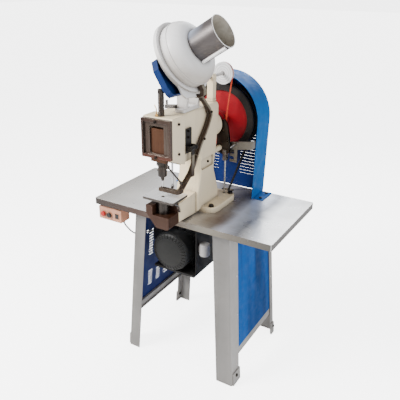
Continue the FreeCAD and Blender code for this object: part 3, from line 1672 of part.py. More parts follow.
def lower_track():
    half = track_half
    band = slab(ribbon(lower_track_points, -half, half), "yz", track_left, track_right)
    middle = (track_left + track_right) / 2
    groove = slab(ribbon(lower_track_points, -half - over, track_groove_depth - half), "yz",
                  middle - track_groove_width / 2, middle + track_groove_width / 2)
    band = band.cut(groove)
    join_y = lower_track_points[-1][0] + half
    low = ram_y - track_width / 2
    high = ram_y + track_width / 2
    outline = [(track_left, join_y), (track_left, high, small_edge), (tip_left, high),
               (tip_left, low), (track_right, low, tip_corner), (track_right, join_y)]
    tip = slab(outline, "xy", tip_bottom, tip_top)
    slot = box(tip_left - over, tip_slot_end, ram_y - tip_slot / 2, ram_y + tip_slot / 2,
               tip_bottom - over, tip_top + over)
    ridge = box(tip_slot_end + over, track_left, ram_y - track_groove_width / 2,
                ram_y + track_groove_width / 2, tip_top - track_groove_depth, tip_top + over)
    tip = carved(tip, slot, ridge)
    front = pivot_front_y + lug_thickness + seat_gap
    rear = pivot_rear_y - lug_thickness - seat_gap
    barrel = rod(V(pivot_x, front, pivot_z), V(pivot_x, rear, pivot_z), pivot_radius * 2)
    arm_y = (front + rear) / 2 - swing_arm_width / 2
    arm = box(track_right - half / 5, track_right - half / 5 + swing_arm_thickness, arm_y,
              arm_y + swing_arm_width, lower_track_points[2][1] - half * 2, pivot_z)
    stud = rod(V(middle, link_low_y, lower_track_points[-1][1]), V(middle, link_low_y, link_low_z),
               link_radius)
    track = joined(band, tip, barrel, arm, stud)
    bore = rod(V(pivot_x, front - over, pivot_z), V(pivot_x, rear + over, pivot_z),
               pivot_radius + run_gap)
    keep("feed_track_lower", track.cut(bore))
    low_end = V(middle, link_low_y, link_low_z + link_eye_width / 2)
    high_end = V(link_high_x, link_high_y, link_high_z)
    base = rod(V(middle, link_low_y, link_low_z), V(middle, link_low_y, link_low_z + link_eye_width),
               link_eye_radius)
    bar = rod(low_end, high_end, link_radius)
    eye = rod(high_end - V(0, link_eye_width / 2, 0), high_end + V(0, link_eye_width / 2, 0),
              link_eye_radius)
    hole = rod(high_end - V(0, link_eye_width, 0), high_end + V(0, link_eye_width, 0), link_radius)
    keep("track_link", joined(base, bar, eye).cut(hole))


# Flywheel, belts and clutch

def v_groove(pitch, rim):
    """Profile points of a belt groove, front to back, at a rim radius."""
    wide = belt_top_width / 2 + belt_room
    narrow = belt_base_width / 2 + belt_room
    slope = (wide - narrow) / belt_height
    top = pitch + belt_height / 2
    bottom = pitch - belt_height / 2 - belt_room
    mouth = wide + slope * (rim - top)
    return [(rim, belt_y - mouth), (bottom, belt_y - narrow), (bottom, belt_y + narrow),
            (rim, belt_y + mouth)]


def flywheel():
    bore = shaft_radius + run_gap
    front = small_belt_y - small_pulley_width / 2
    rear = small_belt_y + small_pulley_width / 2
    profile = [
        (bore, rear - over), (flywheel_hub_radius, rear - over), (flywheel_hub_radius, web_front_y),
        (flywheel_rim_inner, web_front_y), (flywheel_rim_inner + small_edge, flywheel_front_y),
        (flywheel_radius - small_edge, flywheel_front_y),
        (flywheel_radius, flywheel_front_y + small_edge)]
    profile += v_groove(belt_pitch_radius, flywheel_radius)
    profile += [
        (flywheel_radius, flywheel_rear_y - small_edge),
        (flywheel_radius - small_edge, flywheel_rear_y),
        (flywheel_rim_inner + small_edge, flywheel_rear_y), (flywheel_rim_inner, web_rear_y),
        (flywheel_hub_radius, web_rear_y), (flywheel_hub_radius, flywheel_rear_y),
        (bore, flywheel_rear_y)]
    wheel = spun(profile, shaft_point(0), V(0, 1, 0))
    small = grooved_wheel(shaft_point(0), bore)
    keep("flywheel", joined(wheel, small))
    start = boss_end_y + seat_gap
    end = front - seat_gap
    sleeve = tube(shaft_point(start), shaft_point(end), sleeve_radius, shaft_radius + run_gap / 2)
    slot = box(-sleeve_slot / 2, sleeve_slot / 2, (start + end) / 2, end + over,
               shaft_height + shaft_radius + over, shaft_height + sleeve_radius + over)
    ring = tube(shaft_point(start + casting_edge), shaft_point(start + casting_edge * 2),
                sleeve_radius + over, sleeve_radius - over)
    keep("clutch_sleeve", joined(sleeve.cut(slot), ring))


def v_belt():
    top = V(0, 0, shaft_height)
    bottom = V(motor_x, 0, motor_z)
    half = belt_height / 2
    faces = []
    for offset in (half, -half):
        wire = belt_wire(top, belt_pitch_radius + offset, bottom, motor_pulley_pitch + offset)
        faces.append(Part.Face(wire))
    front = belt_y - belt_base_width / 2
    ring = faces[0].extrude(V(0, belt_base_width, 0)).cut(faces[1].extrude(V(0, belt_base_width, 0)))
    ring.translate(V(0, front, 0))
    wire = belt_wire(top, belt_pitch_radius, bottom, motor_pulley_pitch)
    mean = (belt_top_width + belt_base_width) / 2
    cap = faces[0].extrude(V(0, mean, 0)).cut(Part.Face(wire).extrude(V(0, mean, 0)))
    cap.translate(V(0, belt_y - mean / 2, 0))
    keep("v_belt", joined(ring, cap))


# Trip gear

def pin_slot(front, rear):
    """The lever's slot, long enough for the fork pin's side way as the lever turns."""
    z = trip_fork_pin_z + trip_slot_lift
    left = trip_rod_x - trip_slot_left
    right = trip_rod_x + trip_slot_right
    reach = trip_fork_pin_radius + trip_fork_slack
    ends = [rod(V(x, front, z), V(x, rear, z), reach) for x in (left, right)]
    return joined(box(left, right, front, rear, z - reach, z + reach), *ends)


def trip():
    rear = trip_y + trip_thickness
    plate = slab(rounded(trip_outline, trip_corner), "xz", trip_y, rear)
    bore = rod(V(trip_pivot_x, trip_y - over, trip_pivot_z), V(trip_pivot_x, rear + over, trip_pivot_z),
               trip_pin_radius + run_gap)
    slack = pin_slot(trip_y - over, rear + over)
    room = rod(V(0, trip_y - over, shaft_height), V(0, rear + over, shaft_height),
               sleeve_radius + small_edge)
    hook = rod(V(spring_low_x - spring_coil_radius * 2, trip_rod_y(), spring_low_z),
               V(spring_low_x + spring_wire_radius, trip_rod_y(), spring_low_z), spring_hook_radius)
    keep("trip_lever", joined(carved(plate, bore, slack, room), hook))
    fork = []
    half = trip_fork_width / 2
    for y in (trip_y - trip_fork_gap - trip_fork_thickness, rear + trip_fork_gap):
        fork.append(box(trip_rod_x - half, trip_rod_x + half, y, y + trip_fork_thickness,
                        trip_fork_bottom, trip_fork_top))
    outer = trip_fork_gap + trip_fork_thickness
    block = box(trip_rod_x - half, trip_rod_x + half, trip_y - outer, rear + outer,
                trip_fork_bottom, trip_fork_bottom + trip_fork_block)
    pin = rod(V(trip_rod_x, trip_y - outer - over, trip_fork_pin_z),
              V(trip_rod_x, rear + outer + over / 4, trip_fork_pin_z), trip_fork_pin_radius)
    stem = rod(V(trip_rod_x, trip_rod_y(), trip_rod_bottom), V(trip_rod_x, trip_rod_y(),
               trip_fork_bottom + over), trip_rod_radius)
    eye_z = trip_rod_bottom - trip_eye_bore
    eye = rod(V(trip_rod_x, trip_rod_y() - trip_rod_radius, eye_z),
              V(trip_rod_x, trip_rod_y() + trip_rod_radius, eye_z), trip_eye_radius)
    hole = rod(V(trip_rod_x, trip_rod_y() - trip_eye_radius, eye_z),
               V(trip_rod_x, trip_rod_y() + trip_eye_radius, eye_z), trip_eye_bore)
    keep("trip_rod", joined(block, pin, stem, eye, *fork).cut(hole))


def biarc(start, start_way, end, end_way):
    """Two tangent arcs of equal tangent length from one point to another."""
    gap = end - start
    total = start_way + end_way
    a = 2 * (1 - start_way.dot(end_way))
    b = 2 * gap.dot(total)
    c = -gap.dot(gap)
    if abs(a) < tiny * tiny:
        length = -c / b
    else:
        length = (-b + math.sqrt(b * b - 4 * a * c)) / (2 * a)
    first = start + start_way * length
    second = end - end_way * length
    joint = (first + second) * 0.5
    edges = []
    for one, middle, other in ((start, first, joint), (joint, second, end)):
        half = (one - middle).getAngle(other - middle) / 2
        weight = math.sin(half)
        bend = (one + middle * (2 * weight) + other) * (1 / (2 + 2 * weight))
        edges.append(Part.Arc(one, bend, other).toShape())
    return edges


def trip_spring():
    low = V(spring_low_x, trip_rod_y(), spring_low_z)
    high = V(spring_high_x, trip_rod_y(), spring_high_z)
    way = (high - low).normalize()
    side = V(0, 1, 0)
    across = way.cross(side).normalize()
    radius = spring_coil_radius - spring_wire_radius
    lead_in = spring_wire_radius * 4
    start = low + way * lead_in
    rise = ((high - low).Length - lead_in * 2) / spring_turns

    def spot(quarter):
        angle = math.pi / 2 * quarter
        return start + way * (rise * quarter / 4) + (across * math.cos(angle)
                                                     + side * math.sin(angle)) * radius

    def heading(quarter):
        angle = math.pi / 2 * quarter
        around = (side * math.cos(angle) - across * math.sin(angle)) * (radius * math.pi / 2)
        return (around + way * (rise / 4)).normalize()

    edges = []
    for quarter in range(spring_turns * 4):
        edges += biarc(spot(quarter), heading(quarter), spot(quarter + 1), heading(quarter + 1))
    path = Part.Wire(edges)
    ring = Part.Wire(Part.Circle(spot(0), heading(0), spring_wire_radius).toShape())
    coil = path.makePipeShell([ring], True, False)
    print("spring gap to itself", round(rise - spring_wire_radius * 2, 2))
    keep("trip_spring", coil)


def bar_bolt():
    x = anchor_x - anchor_bar * 2.6
    z = bar_left_bottom + (bar_right_bottom - bar_left_bottom) * 0.4 + bar_height / 2
    return hex_bolt(V(x, bar_y, z), V(0, -1, 0), bar_thickness, small_bolt_radius,
                    small_head_width, small_head_height, 0)


def guard_bar():
    level = (bar_right_bottom - table_height) / (guard_centre - table_height)
    right = guard_foot_half + (guard_half - guard_foot_half) * level - guard_sheet - seat_gap
    outline = [(bar_left, bar_left_bottom), (right, bar_right_bottom),
               (right, bar_right_bottom + bar_height), (bar_left, bar_left_bottom + bar_height)]
    bar = slab(rounded(outline, over), "xz", bar_y, bar_y + bar_thickness)
    tab = box(right - bar_tab_thickness, right, bar_y, bar_y + bar_tab_reach,
              bar_right_bottom + over, bar_right_bottom + bar_height - over)
    pivot = rod(V(trip_pivot_x, bar_y - over, trip_pivot_z),
                V(trip_pivot_x, bar_y + bar_thickness + over, trip_pivot_z),
                trip_pin_radius + run_gap)
    x = anchor_x - anchor_bar * 2.6
    z = bar_left_bottom + (bar_right_bottom - bar_left_bottom) * 0.4 + bar_height / 2
    hole = rod(V(x, bar_y - over, z), V(x, bar_y + bar_thickness + over, z),
               small_bolt_radius + run_gap)
    bar = carved(joined(bar, tab), pivot, hole)
    front = bar_y - anchor_thickness
    half = anchor_bar / 2
    top = spring_high_z + half
    post = box(anchor_x - half, anchor_x + half * 1.6, front, bar_y, anchor_bottom, top)
    prongs = []
    for z in (anchor_bottom, anchor_bottom + anchor_bar * 2.2):
        prongs.append(box(anchor_x - half - anchor_prong * 0.8, anchor_x, front, bar_y, z,
                          z + anchor_bar))
    pin = rod(V(spring_high_x, trip_rod_y() - spring_coil_radius, spring_high_z),
              V(spring_high_x, bar_y, spring_high_z), spring_hook_radius)
    keep("guard_bar", bar, joined(post, pin, *prongs))


# Guard over the flywheel

def arch_solid(shrink, front, rear, drop):
    foot = guard_foot_half - shrink
    half = guard_half - shrink
    low = table_height - drop
    edges = [
        Part.LineSegment(V(-foot, front, low), V(-half, front, guard_centre)).toShape(),
        Part.Arc(V(-half, front, guard_centre), V(0, front, guard_centre + half),
                 V(half, front, guard_centre)).toShape(),
        Part.LineSegment(V(half, front, guard_centre), V(foot, front, low)).toShape(),
        Part.LineSegment(V(foot, front, low), V(-foot, front, low)).toShape()]
    return Part.Face(Part.Wire(edges)).extrude(V(0, rear - front, 0))


def guard():
    outer = arch_solid(0, guard_front_y, guard_rear_y, 0)
    inner = arch_solid(guard_sheet, guard_front_y - over, guard_rear_y + over, over)
    strip = outer.cut(inner)
    pieces = [strip]
    cutters = []
    for side in (-1, 1):
        x = side * (guard_foot_half - guard_sheet)
        far = side * (guard_foot_half + guard_flange)
        pieces.append(box(min(x, far), max(x, far), guard_front_y + guard_flange_inset,
                          guard_rear_y - guard_flange_inset, table_height,
                          table_height + guard_flange_thickness))
    for x, y in guard_bolt_places():
        cutters.append(rod(V(x, y, table_height - over),
                           V(x, y, table_height + guard_flange_thickness + over),
                           small_bolt_radius + run_gap))
    keep("belt_guard", carved(joined(*pieces), *cutters))
    back = arch_solid(guard_sheet + seat_gap / 2, guard_rear_y - guard_sheet * 2, guard_rear_y, 0)
    cutters = []
    for left in (vent_left, -vent_left - vent_length):
        for row in range(vent_rows):
            z = vent_start + vent_pitch * row
            cutters.append(box(left, left + vent_length, guard_rear_y - guard_sheet * 3,
                               guard_rear_y + over, z, z + vent_height))
    keep("guard_back", carved(back, *cutters))


# Motor under the table

def motor_point(y, x=0, z=0):
    return V(motor_x + x, y, motor_z + z)


def motor():
    body = rod(motor_point(motor_front_y), motor_point(motor_rear_y), motor_radius)
    outer = motor_radius + motor_fin
    fins = []
    for turn in range(motor_fins):
        angle = whole_turn * turn / motor_fins
        fin = box(motor_radius - fin_root, outer, motor_front_y + motor_bell,
                  motor_rear_y - motor_bell, -motor_fin_width / 2, motor_fin_width / 2)
        fin.rotate(V(0, 0, 0), V(0, 1, 0), angle)
        fin.translate(V(motor_x, 0, motor_z))
        fins.append(fin)
    pieces = [body]
    for start, end in ((motor_front_y, motor_front_y + motor_bell),
                       (motor_rear_y - motor_bell, motor_rear_y)):
        pieces.append(rod(motor_point(start), motor_point(end), outer))
    pieces.append(rod(motor_point(motor_rear_y - over), motor_point(motor_rear_y + motor_nose),
                      motor_nose_radius))
    for sign in (-1, 1):
        x = motor_x + sign * motor_foot_half
        inner = x - sign * motor_foot_width
        block = box(min(x, inner), max(x, inner), motor_foot_front_y, motor_foot_rear_y,
                    shelf_top, motor_z - motor_radius * 0.6)
        pieces.append(block)
    shell = joined(*pieces, *fins)
    cavity = rod(motor_point(motor_front_y + motor_wall), motor_point(motor_rear_y - motor_wall),
                 motor_bore)
    way = rod(motor_point(motor_front_y - over), motor_point(motor_rear_y + motor_nose + over),
              motor_shaft_radius + run_gap)
    keep("motor_body", carved(shell, cavity, way))


def cowl():
    """Domed fan cover with a ring of radial slots near its rim."""
    outer = cowl_radius
    front = cowl_front_y
    rear = motor_front_y + motor_bell * 0.8
    dome = [(outer * share, front + cowl_round * depth) for share, depth in cowl_dome_shares]
    inside = [(radius - cowl_sheet * share, y + cowl_sheet)
              for (radius, y), (share, depth) in zip(dome, cowl_dome_shares)]
    inner = inside[-1][0]
    outline = [(0, front)] + dome + [(outer, rear), (inner, rear)] + inside[::-1]
    outline.append((0, front + cowl_sheet))
    shell = spun(outline, motor_point(0), V(0, 1, 0))
    rim = tube(motor_point(motor_front_y), motor_point(rear), inner + cowl_sheet / 2,
               motor_radius + motor_fin + seat_gap)
    cutters = []
    for turn in range(cowl_slots):
        slot = box(cowl_slot_inner, outer * cowl_slot_outer_share, front - over,
                   front + cowl_round * 2, -cowl_slot_width / 2, cowl_slot_width / 2)
        slot.rotate(V(0, 0, 0), V(0, 1, 0), whole_turn * (turn + 0.5) / cowl_slots)
        slot.translate(V(motor_x, 0, motor_z))
        cutters.append(slot)
    shell = shell.cut(cutters)
    keep("motor_fan_cover", joined(shell, rim))


def rotor():
    shaft = rod(motor_point(fan_front_y - small_edge), motor_point(belt_y + pulley_width / 2 + over),
                motor_shaft_radius)
    start = motor_front_y + motor_wall + rotor_end_room
    core = rod(motor_point(start), motor_point(motor_rear_y - motor_wall - rotor_end_room),
               rotor_radius)
    hub = rod(motor_point(fan_front_y), motor_point(fan_rear_y), fan_hub)
    pieces = [shaft, core, hub]
    for turn in range(fan_blades):
        blade = box(fan_hub - over, fan_radius, fan_front_y, fan_rear_y, -fan_blade / 2, fan_blade / 2)
        blade.rotate(V(0, 0, 0), V(0, 1, 0), whole_turn * turn / fan_blades)
        blade.translate(V(motor_x, 0, motor_z))
        pieces.append(blade)
    keep("motor_rotor", joined(*pieces))
    bore = motor_shaft_radius + run_gap / 2
    rim = motor_pulley_pitch + belt_height / 2 + over / 2
    half = pulley_width / 2
    profile = [(bore, belt_y - half), (rim, belt_y - half)]
    profile += v_groove(motor_pulley_pitch, rim)
    profile += [(rim, belt_y + half), (bore, belt_y + half)]
    keep("motor_pulley", spun(profile, motor_point(0), V(0, 1, 0)))


def motor_fittings():
    corners = plate_outline(terminal_left, terminal_right, terminal_bottom, terminal_top,
                            terminal_round)
    case = slab(corners, "xz", terminal_front_y, terminal_rear_y)
    room = rod(motor_point(terminal_front_y - over), motor_point(terminal_rear_y + over),
               motor_radius + motor_fin + seat_gap)
    lid = box(terminal_left - cowl_sheet, terminal_left, terminal_front_y + over,
              terminal_rear_y - over, terminal_bottom + over, terminal_top - over)
    keep("terminal_box", joined(case.cut(room), lid))
    base = V(capacitor_x, capacitor_y, 0)
    edge = capacitor_round
    can = spun([(0, capacitor_bottom), (capacitor_radius - edge, capacitor_bottom),
                (capacitor_radius, capacitor_bottom + edge), (capacitor_radius, capacitor_top - edge),
                (capacitor_radius - edge, capacitor_top), (0, capacitor_top)], base, V(0, 0, 1))
    foot = box(shelf_right + seat_gap, capacitor_x, capacitor_y - capacitor_foot_half,
               capacitor_y + capacitor_foot_half, capacitor_bottom + capacitor_foot_inset,
               capacitor_top - capacitor_foot_inset)
    keep("capacitor", joined(can, foot))
    bottom = shelf_top - shelf_thickness
    plate = box(shelf_left, shelf_right, shelf_front_y, shelf_rear_y, bottom, shelf_top)
    pieces = [plate]
    for start, flange_left, span in (
            (shelf_left, shelf_left, left_hanger_span),
            (shelf_right - hanger_thickness, shelf_right - hanger_flange, right_hanger_span)):
        pieces.append(box(start, start + hanger_thickness, span[0], span[1], bottom + over,
                          table_bottom))
        pieces.append(box(flange_left, flange_left + hanger_flange, span[0], span[1],
                          table_bottom - hanger_thickness, table_bottom))
    keep("motor_shelf", joined(*pieces))


# Switch box

def switch_case():
    corners = plate_outline(switch_left, switch_right, switch_bottom, switch_top, switch_round)
    case = slab(corners, "xz", switch_front_y, switch_rear_y)
    rail = box(switch_left + switch_rail, switch_right - switch_rail, switch_rear_y - switch_rail,
               switch_rear_y, switch_top - over, table_bottom)
    room = button_travel + button_in + over
    cutters = []
    front = switch_front_y
    for x in (stop_x, start_x):
        cutters.append(rod(V(x, front - over, button_z), V(x, front + room, button_z),
                           button_stem_radius + run_gap * 2))
    cutters.append(rod(V(lead_points[0][0], lead_points[0][1], switch_bottom - over),
                       V(lead_points[0][0], lead_points[0][1], switch_bottom), lead_radius))
    half_x = rocker_half_x + seat_gap
    half_z = rocker_half_z + seat_gap * 2
    cutters.append(box(rocker_x - half_x, rocker_x + half_x, front - over,
                       front + rocker_depth + over, button_z - half_z, button_z + half_z))
    shell = carved(joined(case, rail), *cutters)
    rings = []
    for x in (stop_x, start_x):
        rings.append(tube(V(x, front - collar_ring, button_z), V(x, front, button_z),
                          button_radius + collar_ring, button_radius + seat_gap * 2))
    frame = slab(plate_outline(rocker_x - half_x - collar_ring, rocker_x + half_x + collar_ring,
                               button_z - half_z - collar_ring, button_z + half_z + collar_ring,
                               over / 2), "xz", front - collar_ring / 3, front)
    window = box(rocker_x - half_x, rocker_x + half_x, front - collar_ring, front + over,
                 button_z - half_z, button_z + half_z)
    keep("switch_box", joined(shell, frame.cut(window), *rings))


def button(name, x):
    front = switch_front_y - button_travel - button_out
    back = switch_front_y - button_travel - seat_gap
    cap = button_cap_round
    profile = [(0, front), (button_radius - cap, front), (button_radius, front + cap),
               (button_radius, back), (button_stem_radius, back),
               (button_stem_radius, switch_front_y + button_in), (0, switch_front_y + button_in)]
    keep(name, spun(profile, V(x, 0, button_z), V(0, 1, 0)))


def rocker():
    front = switch_front_y
    outline = [(front - rocker_out, button_z + rocker_half_z - over * 0.7),
               (front - rocker_out * 0.3, button_z),
               (front - rocker_out * 0.6, button_z - rocker_half_z + over * 0.7),
               (front + rocker_depth * 0.5, button_z - rocker_half_z * 0.6),
               (front + rocker_depth * 0.9, button_z),
               (front + rocker_depth * 0.5, button_z + rocker_half_z * 0.6)]
    left = rocker_x - rocker_half_x
    right = rocker_x + rocker_half_x
    pin_y = front + rocker_out
    bore = rod(V(left - over, pin_y, button_z), V(right + over, pin_y, button_z), rocker_pin_radius)
    keep("rocker_switch", slab(outline, "yz", left, right).cut(bore))


def lead_path(points):
    """Straight runs joined by tangent arcs as large as the shorter run allows."""
    spots = [V(*point) for point in points]
    edges = []
    last = spots[0]
    for index in range(1, len(spots) - 1):
        here = spots[index]
        back = spots[index - 1] - here
        ahead = spots[index + 1] - here
        short = min(back.Length, ahead.Length)
        back.normalize()
        ahead.normalize()
        half = back.getAngle(ahead) / 2
        reach = 0.45 * short
        radius = reach * math.tan(half)
        print("lead arc radius", round(radius, 1))
        inward = (back + ahead).normalize()
        middle = here + inward * (radius / math.sin(half) - radius)
        start = here + back * reach
        end = here + ahead * reach
        edges.append(Part.LineSegment(last, start).toShape())
        edges.append(Part.Arc(start, middle, end).toShape())
        last = end
    edges.append(Part.LineSegment(last, spots[-1]).toShape())
    return Part.Wire(edges)


def switch_lead():
    path = lead_path(lead_points)
    start = V(*lead_points[0])
    way = (V(*lead_points[1]) - start).normalize()
    ring = Part.Wire(Part.Circle(start, way, lead_radius).toShape())
    lead = path.makePipeShell([ring], True, False)
    print("lead volume share", round(lead.Volume / (path.Length * math.pi * lead_radius ** 2), 4))
    flat = box(switch_left, switch_right + over, switch_front_y, switch_rear_y, switch_bottom,
               switch_top)
    case = box(terminal_left - cowl_sheet, terminal_right, terminal_front_y, terminal_rear_y,
               terminal_bottom, terminal_top)
    keep("switch_lead", lead.cut([flat, case]))
    clips = []
    for start, end in ((lead_points[0], lead_points[1]), (lead_points[-1], lead_points[-2])):
        base = V(*start)
        way = (V(*end) - base).normalize()
        clip = tube(base - way * clip_width, base + way * clip_width,
                    lead_radius + clip_thickness, lead_radius + run_gap)
        clips.append(clip.cut([flat, case]))
    keep("lead_clips", *clips)


def build():
    stand()
    machine_frame()
    head_cover()
    shaft_bushes()
    crankshaft()
    ram()
    stop_rod()
    head_top()
    anvil()
    bowl()
    funnel()
    carrier()
    brush()
    worm()
    gear_cover()
    drive_bracket()
    round_belt()
    upper_track()
    lower_track()
    flywheel()
    v_belt()
    trip()
    trip_spring()
    guard_bar()
    guard()
    motor()
    cowl()
    rotor()
    motor_fittings()
    switch_case()
    button("stop_button", stop_x)
    button("start_button", start_x)
    rocker()
    switch_lead()
    hex_bolts()
    socket_screws()


build()
os.makedirs("parts", exist_ok=True)
for name in sorted(made):
    group = []
    for shape in made[name]:
        group += shape.Solids
    volume = sum(solid.Volume for solid in group)
    sound = all(solid.isValid() for solid in group)
    print(name, len(group), "solids", round(volume / 1000, 1), "cm3", "" if sound else "NOT VALID")
    whole = group[0] if len(group) == 1 else Part.makeCompound(group)
    whole.exportStep("parts/" + name + ".step")
print(len(made), "nodes")
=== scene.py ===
import math

import bpy
from mathutils import Matrix, Vector


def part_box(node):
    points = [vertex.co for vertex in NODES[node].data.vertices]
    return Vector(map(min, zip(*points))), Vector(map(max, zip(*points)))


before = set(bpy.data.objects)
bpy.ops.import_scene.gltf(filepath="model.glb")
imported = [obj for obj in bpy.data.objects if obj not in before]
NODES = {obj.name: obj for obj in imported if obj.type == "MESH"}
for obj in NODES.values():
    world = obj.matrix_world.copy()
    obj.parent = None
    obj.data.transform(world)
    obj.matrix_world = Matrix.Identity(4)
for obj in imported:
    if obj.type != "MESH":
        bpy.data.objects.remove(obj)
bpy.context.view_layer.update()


# Places on the machine where a look changes, in metres

TABLE_HALF = 0.44
TABLE_SHADOW = (0.150, -0.13)
SHAFT_HEIGHT = 1.127
WEB_RADIUS = 0.1262
HUB_RADIUS = 0.034
MILLED_HALF = 0.036
MILLED_BOTTOM = 1.090
MILLED_FRONT = -0.150
HINGE_LOW = 1.075
HINGE_HIGH = 1.185
HINGE_BACK = -0.200
WORN_FROM = 1.00
WORN_TO = 1.06
FUNNEL_MIDDLE = (0.033, -0.180, 1.453)
FUNNEL_RIM = 0.1672
FUNNEL_SEAM = 0.0660


# Directions, and the turn in radians that lays a pattern along the funnel

FUNNEL_AXIS = (0.854459, 0.0, 0.519519)
FUNNEL_TURN = (0, -0.546, 0)
SQUARE_TO_Y = (1.0, 0.0, 1.0)


# Materials, with the brightness of what is seen behind the machine and of what lights it

BACKDROP = 4.5
WORLD_LIGHT = 0.58
RAY_SAMPLES = 4
SHARP_ANGLE = math.radians(32)
BROWN = (0.055, 0.028, 0.016)


class Look:
    """A node tree around one Principled shader, with short calls for its parts."""

    def __init__(self, name, rough, metal=0.0, spec=0.5):
        self.material = bpy.data.materials.new(name)
        self.material.use_nodes = True
        self.nodes = self.material.node_tree.nodes
        self.links = self.material.node_tree.links
        self.nodes.clear()
        out = self.nodes.new("ShaderNodeOutputMaterial")
        self.shader = self.nodes.new("ShaderNodeBsdfPrincipled")
        self.links.new(self.shader.outputs[0], out.inputs[0])
        self.shader.inputs["Roughness"].default_value = rough
        self.shader.inputs["Metallic"].default_value = metal
        self.shader.inputs["Specular IOR Level"].default_value = spec
        self.place = self.nodes.new("ShaderNodeTexCoord").outputs["Object"]
        self.facing = None

    def set(self, socket, value):
        if isinstance(value, bpy.types.NodeSocket):
            self.links.new(value, socket)
        elif isinstance(value, (tuple, list)) and len(value) == 3 and socket.type == "RGBA":
            socket.default_value = (*value, 1.0)
        else:
            socket.default_value = value

    def stretched(self, scale, turn=(0, 0, 0)):
        node = self.nodes.new("ShaderNodeMapping")
        self.links.new(self.place, node.inputs["Vector"])
        node.inputs["Scale"].default_value = scale
        node.inputs["Rotation"].default_value = turn
        return node.outputs[0]

    def noise(self, scale, detail=3.0, rough=0.55, at=None, distort=0.0):
        node = self.nodes.new("ShaderNodeTexNoise")
        self.links.new(at or self.place, node.inputs["Vector"])
        node.inputs["Scale"].default_value = scale
        node.inputs["Detail"].default_value = detail
        node.inputs["Roughness"].default_value = rough
        node.inputs["Distortion"].default_value = distort
        return node.outputs["Fac"]

    def strand(self, scale, turn=(0, 0, 0), detail=3.0, rough=0.6, distort=0.0):
        """Noise drawn out along one way, as brushing, rolling or running oil leaves it."""
        return self.noise(1.0, detail, rough, at=self.stretched(scale, turn), distort=distort)

    def share(self, vector, name):
        node = self.nodes.new("ShaderNodeSeparateXYZ")
        self.links.new(vector, node.inputs[0])
        return node.outputs[name]

    def axis(self, name):
        return self.share(self.place, name)

    def normal(self):
        return self.nodes.new("ShaderNodeTexCoord").outputs["Normal"]

    def normal_axis(self, name):
        return self.share(self.normal(), name)

    def vector(self, kind, a, b=None, factor=None):
        node = self.nodes.new("ShaderNodeVectorMath")
        node.operation = kind
        for socket, value in ((node.inputs[0], a), (node.inputs[1], b)):
            if isinstance(value, bpy.types.NodeSocket):
                self.links.new(value, socket)
            elif value is not None:
                socket.default_value = value
        if factor is not None:
            self.links.new(factor, node.inputs["Scale"])
        return node.outputs["Value" if kind in ("DOT_PRODUCT", "LENGTH") else "Vector"]

    def round_reach(self, middle, keep):
        """Distance from a line through middle, along the axis that keep leaves out."""
        apart = self.vector("SUBTRACT", self.place, middle)
        return self.vector("LENGTH", self.vector("MULTIPLY", apart, keep))

    def corner_shade(self, reach, share=0.8):
        """How deep in a corner or slot a point lies, 0 on open faces: the mask that paints shade into
        corners.
        """
        node = self.nodes.new("ShaderNodeAmbientOcclusion")
        node.samples = RAY_SAMPLES
        node.inputs["Distance"].default_value = reach
        return self.span(node.outputs["AO"], 0.92, 0.30, 0.0, share)

    def math(self, kind, a, b=0.0):
        node = self.nodes.new("ShaderNodeMath")
        node.operation = kind
        self.set(node.inputs[0], a)
        self.set(node.inputs[1], b)
        return node.outputs[0]

    def times(self, a, b):
        return self.math("MULTIPLY", a, b)

    def away(self, value, middle):
        return self.math("ABSOLUTE", self.math("SUBTRACT", value, middle))

    def span(self, value, low, high, to_low=0.0, to_high=1.0):
        node = self.nodes.new("ShaderNodeMapRange")
        self.set(node.inputs["Value"], value)
        ends = {"From Min": low, "From Max": high, "To Min": to_low, "To Max": to_high}
        for key, number in ends.items():
            node.inputs[key].default_value = number
        return node.outputs[0]

    def ramp(self, value, *stops):
        node = self.nodes.new("ShaderNodeValToRGB")
        self.set(node.inputs[0], value)
        marks = node.color_ramp.elements
        while len(marks) < len(stops):
            marks.new(0.5)
        for mark, (spot, color) in zip(marks, stops):
            mark.position = spot
            mark.color = (*color, 1.0)
        return node.outputs[0]

    def mix(self, share, a, b, kind="MIX"):
        node = self.nodes.new("ShaderNodeMix")
        node.data_type = "RGBA"
        node.blend_type = kind
        self.set(node.inputs[0], share)
        self.set(node.inputs[6], a)
        self.set(node.inputs[7], b)
        return node.outputs[2]

    def blend(self, value, low, high, a, b, most=1.0):
        """From a to b while value goes from low to high, as far as most."""
        return self.mix(self.span(value, low, high, 0.0, most), a, b)

    def bevelled(self, radius):
        node = self.nodes.new("ShaderNodeBevel")
        node.samples = RAY_SAMPLES
        node.inputs["Radius"].default_value = radius
        return node.outputs[0]

    def edges(self, radius=0.0025):
        """White along sharp edges, from the bevelled normal against the real one."""
        real = self.nodes.new("ShaderNodeNewGeometry").outputs["Normal"]
        return self.span(self.vector("DOT_PRODUCT", self.bevelled(radius), real), 0.97, 0.80)

    def soft_edges(self, radius):
        self.facing = self.bevelled(radius)

    def bump(self, height, strength, distance):
        node = self.nodes.new("ShaderNodeBump")
        node.inputs["Strength"].default_value = strength
        node.inputs["Distance"].default_value = distance
        self.links.new(height, node.inputs["Height"])
        if self.facing is not None:
            self.links.new(self.facing, node.inputs["Normal"])
        self.facing = node.outputs[0]

    def done(self, color, rough=None):
        self.set(self.shader.inputs["Base Color"], color)
        if rough is not None:
            self.set(self.shader.inputs["Roughness"], rough)
        if self.facing is not None:
            self.links.new(self.facing, self.shader.inputs["Normal"])
        return self.material


def shade(color, factor):
    return tuple(min(1.0, part * factor) for part in color)


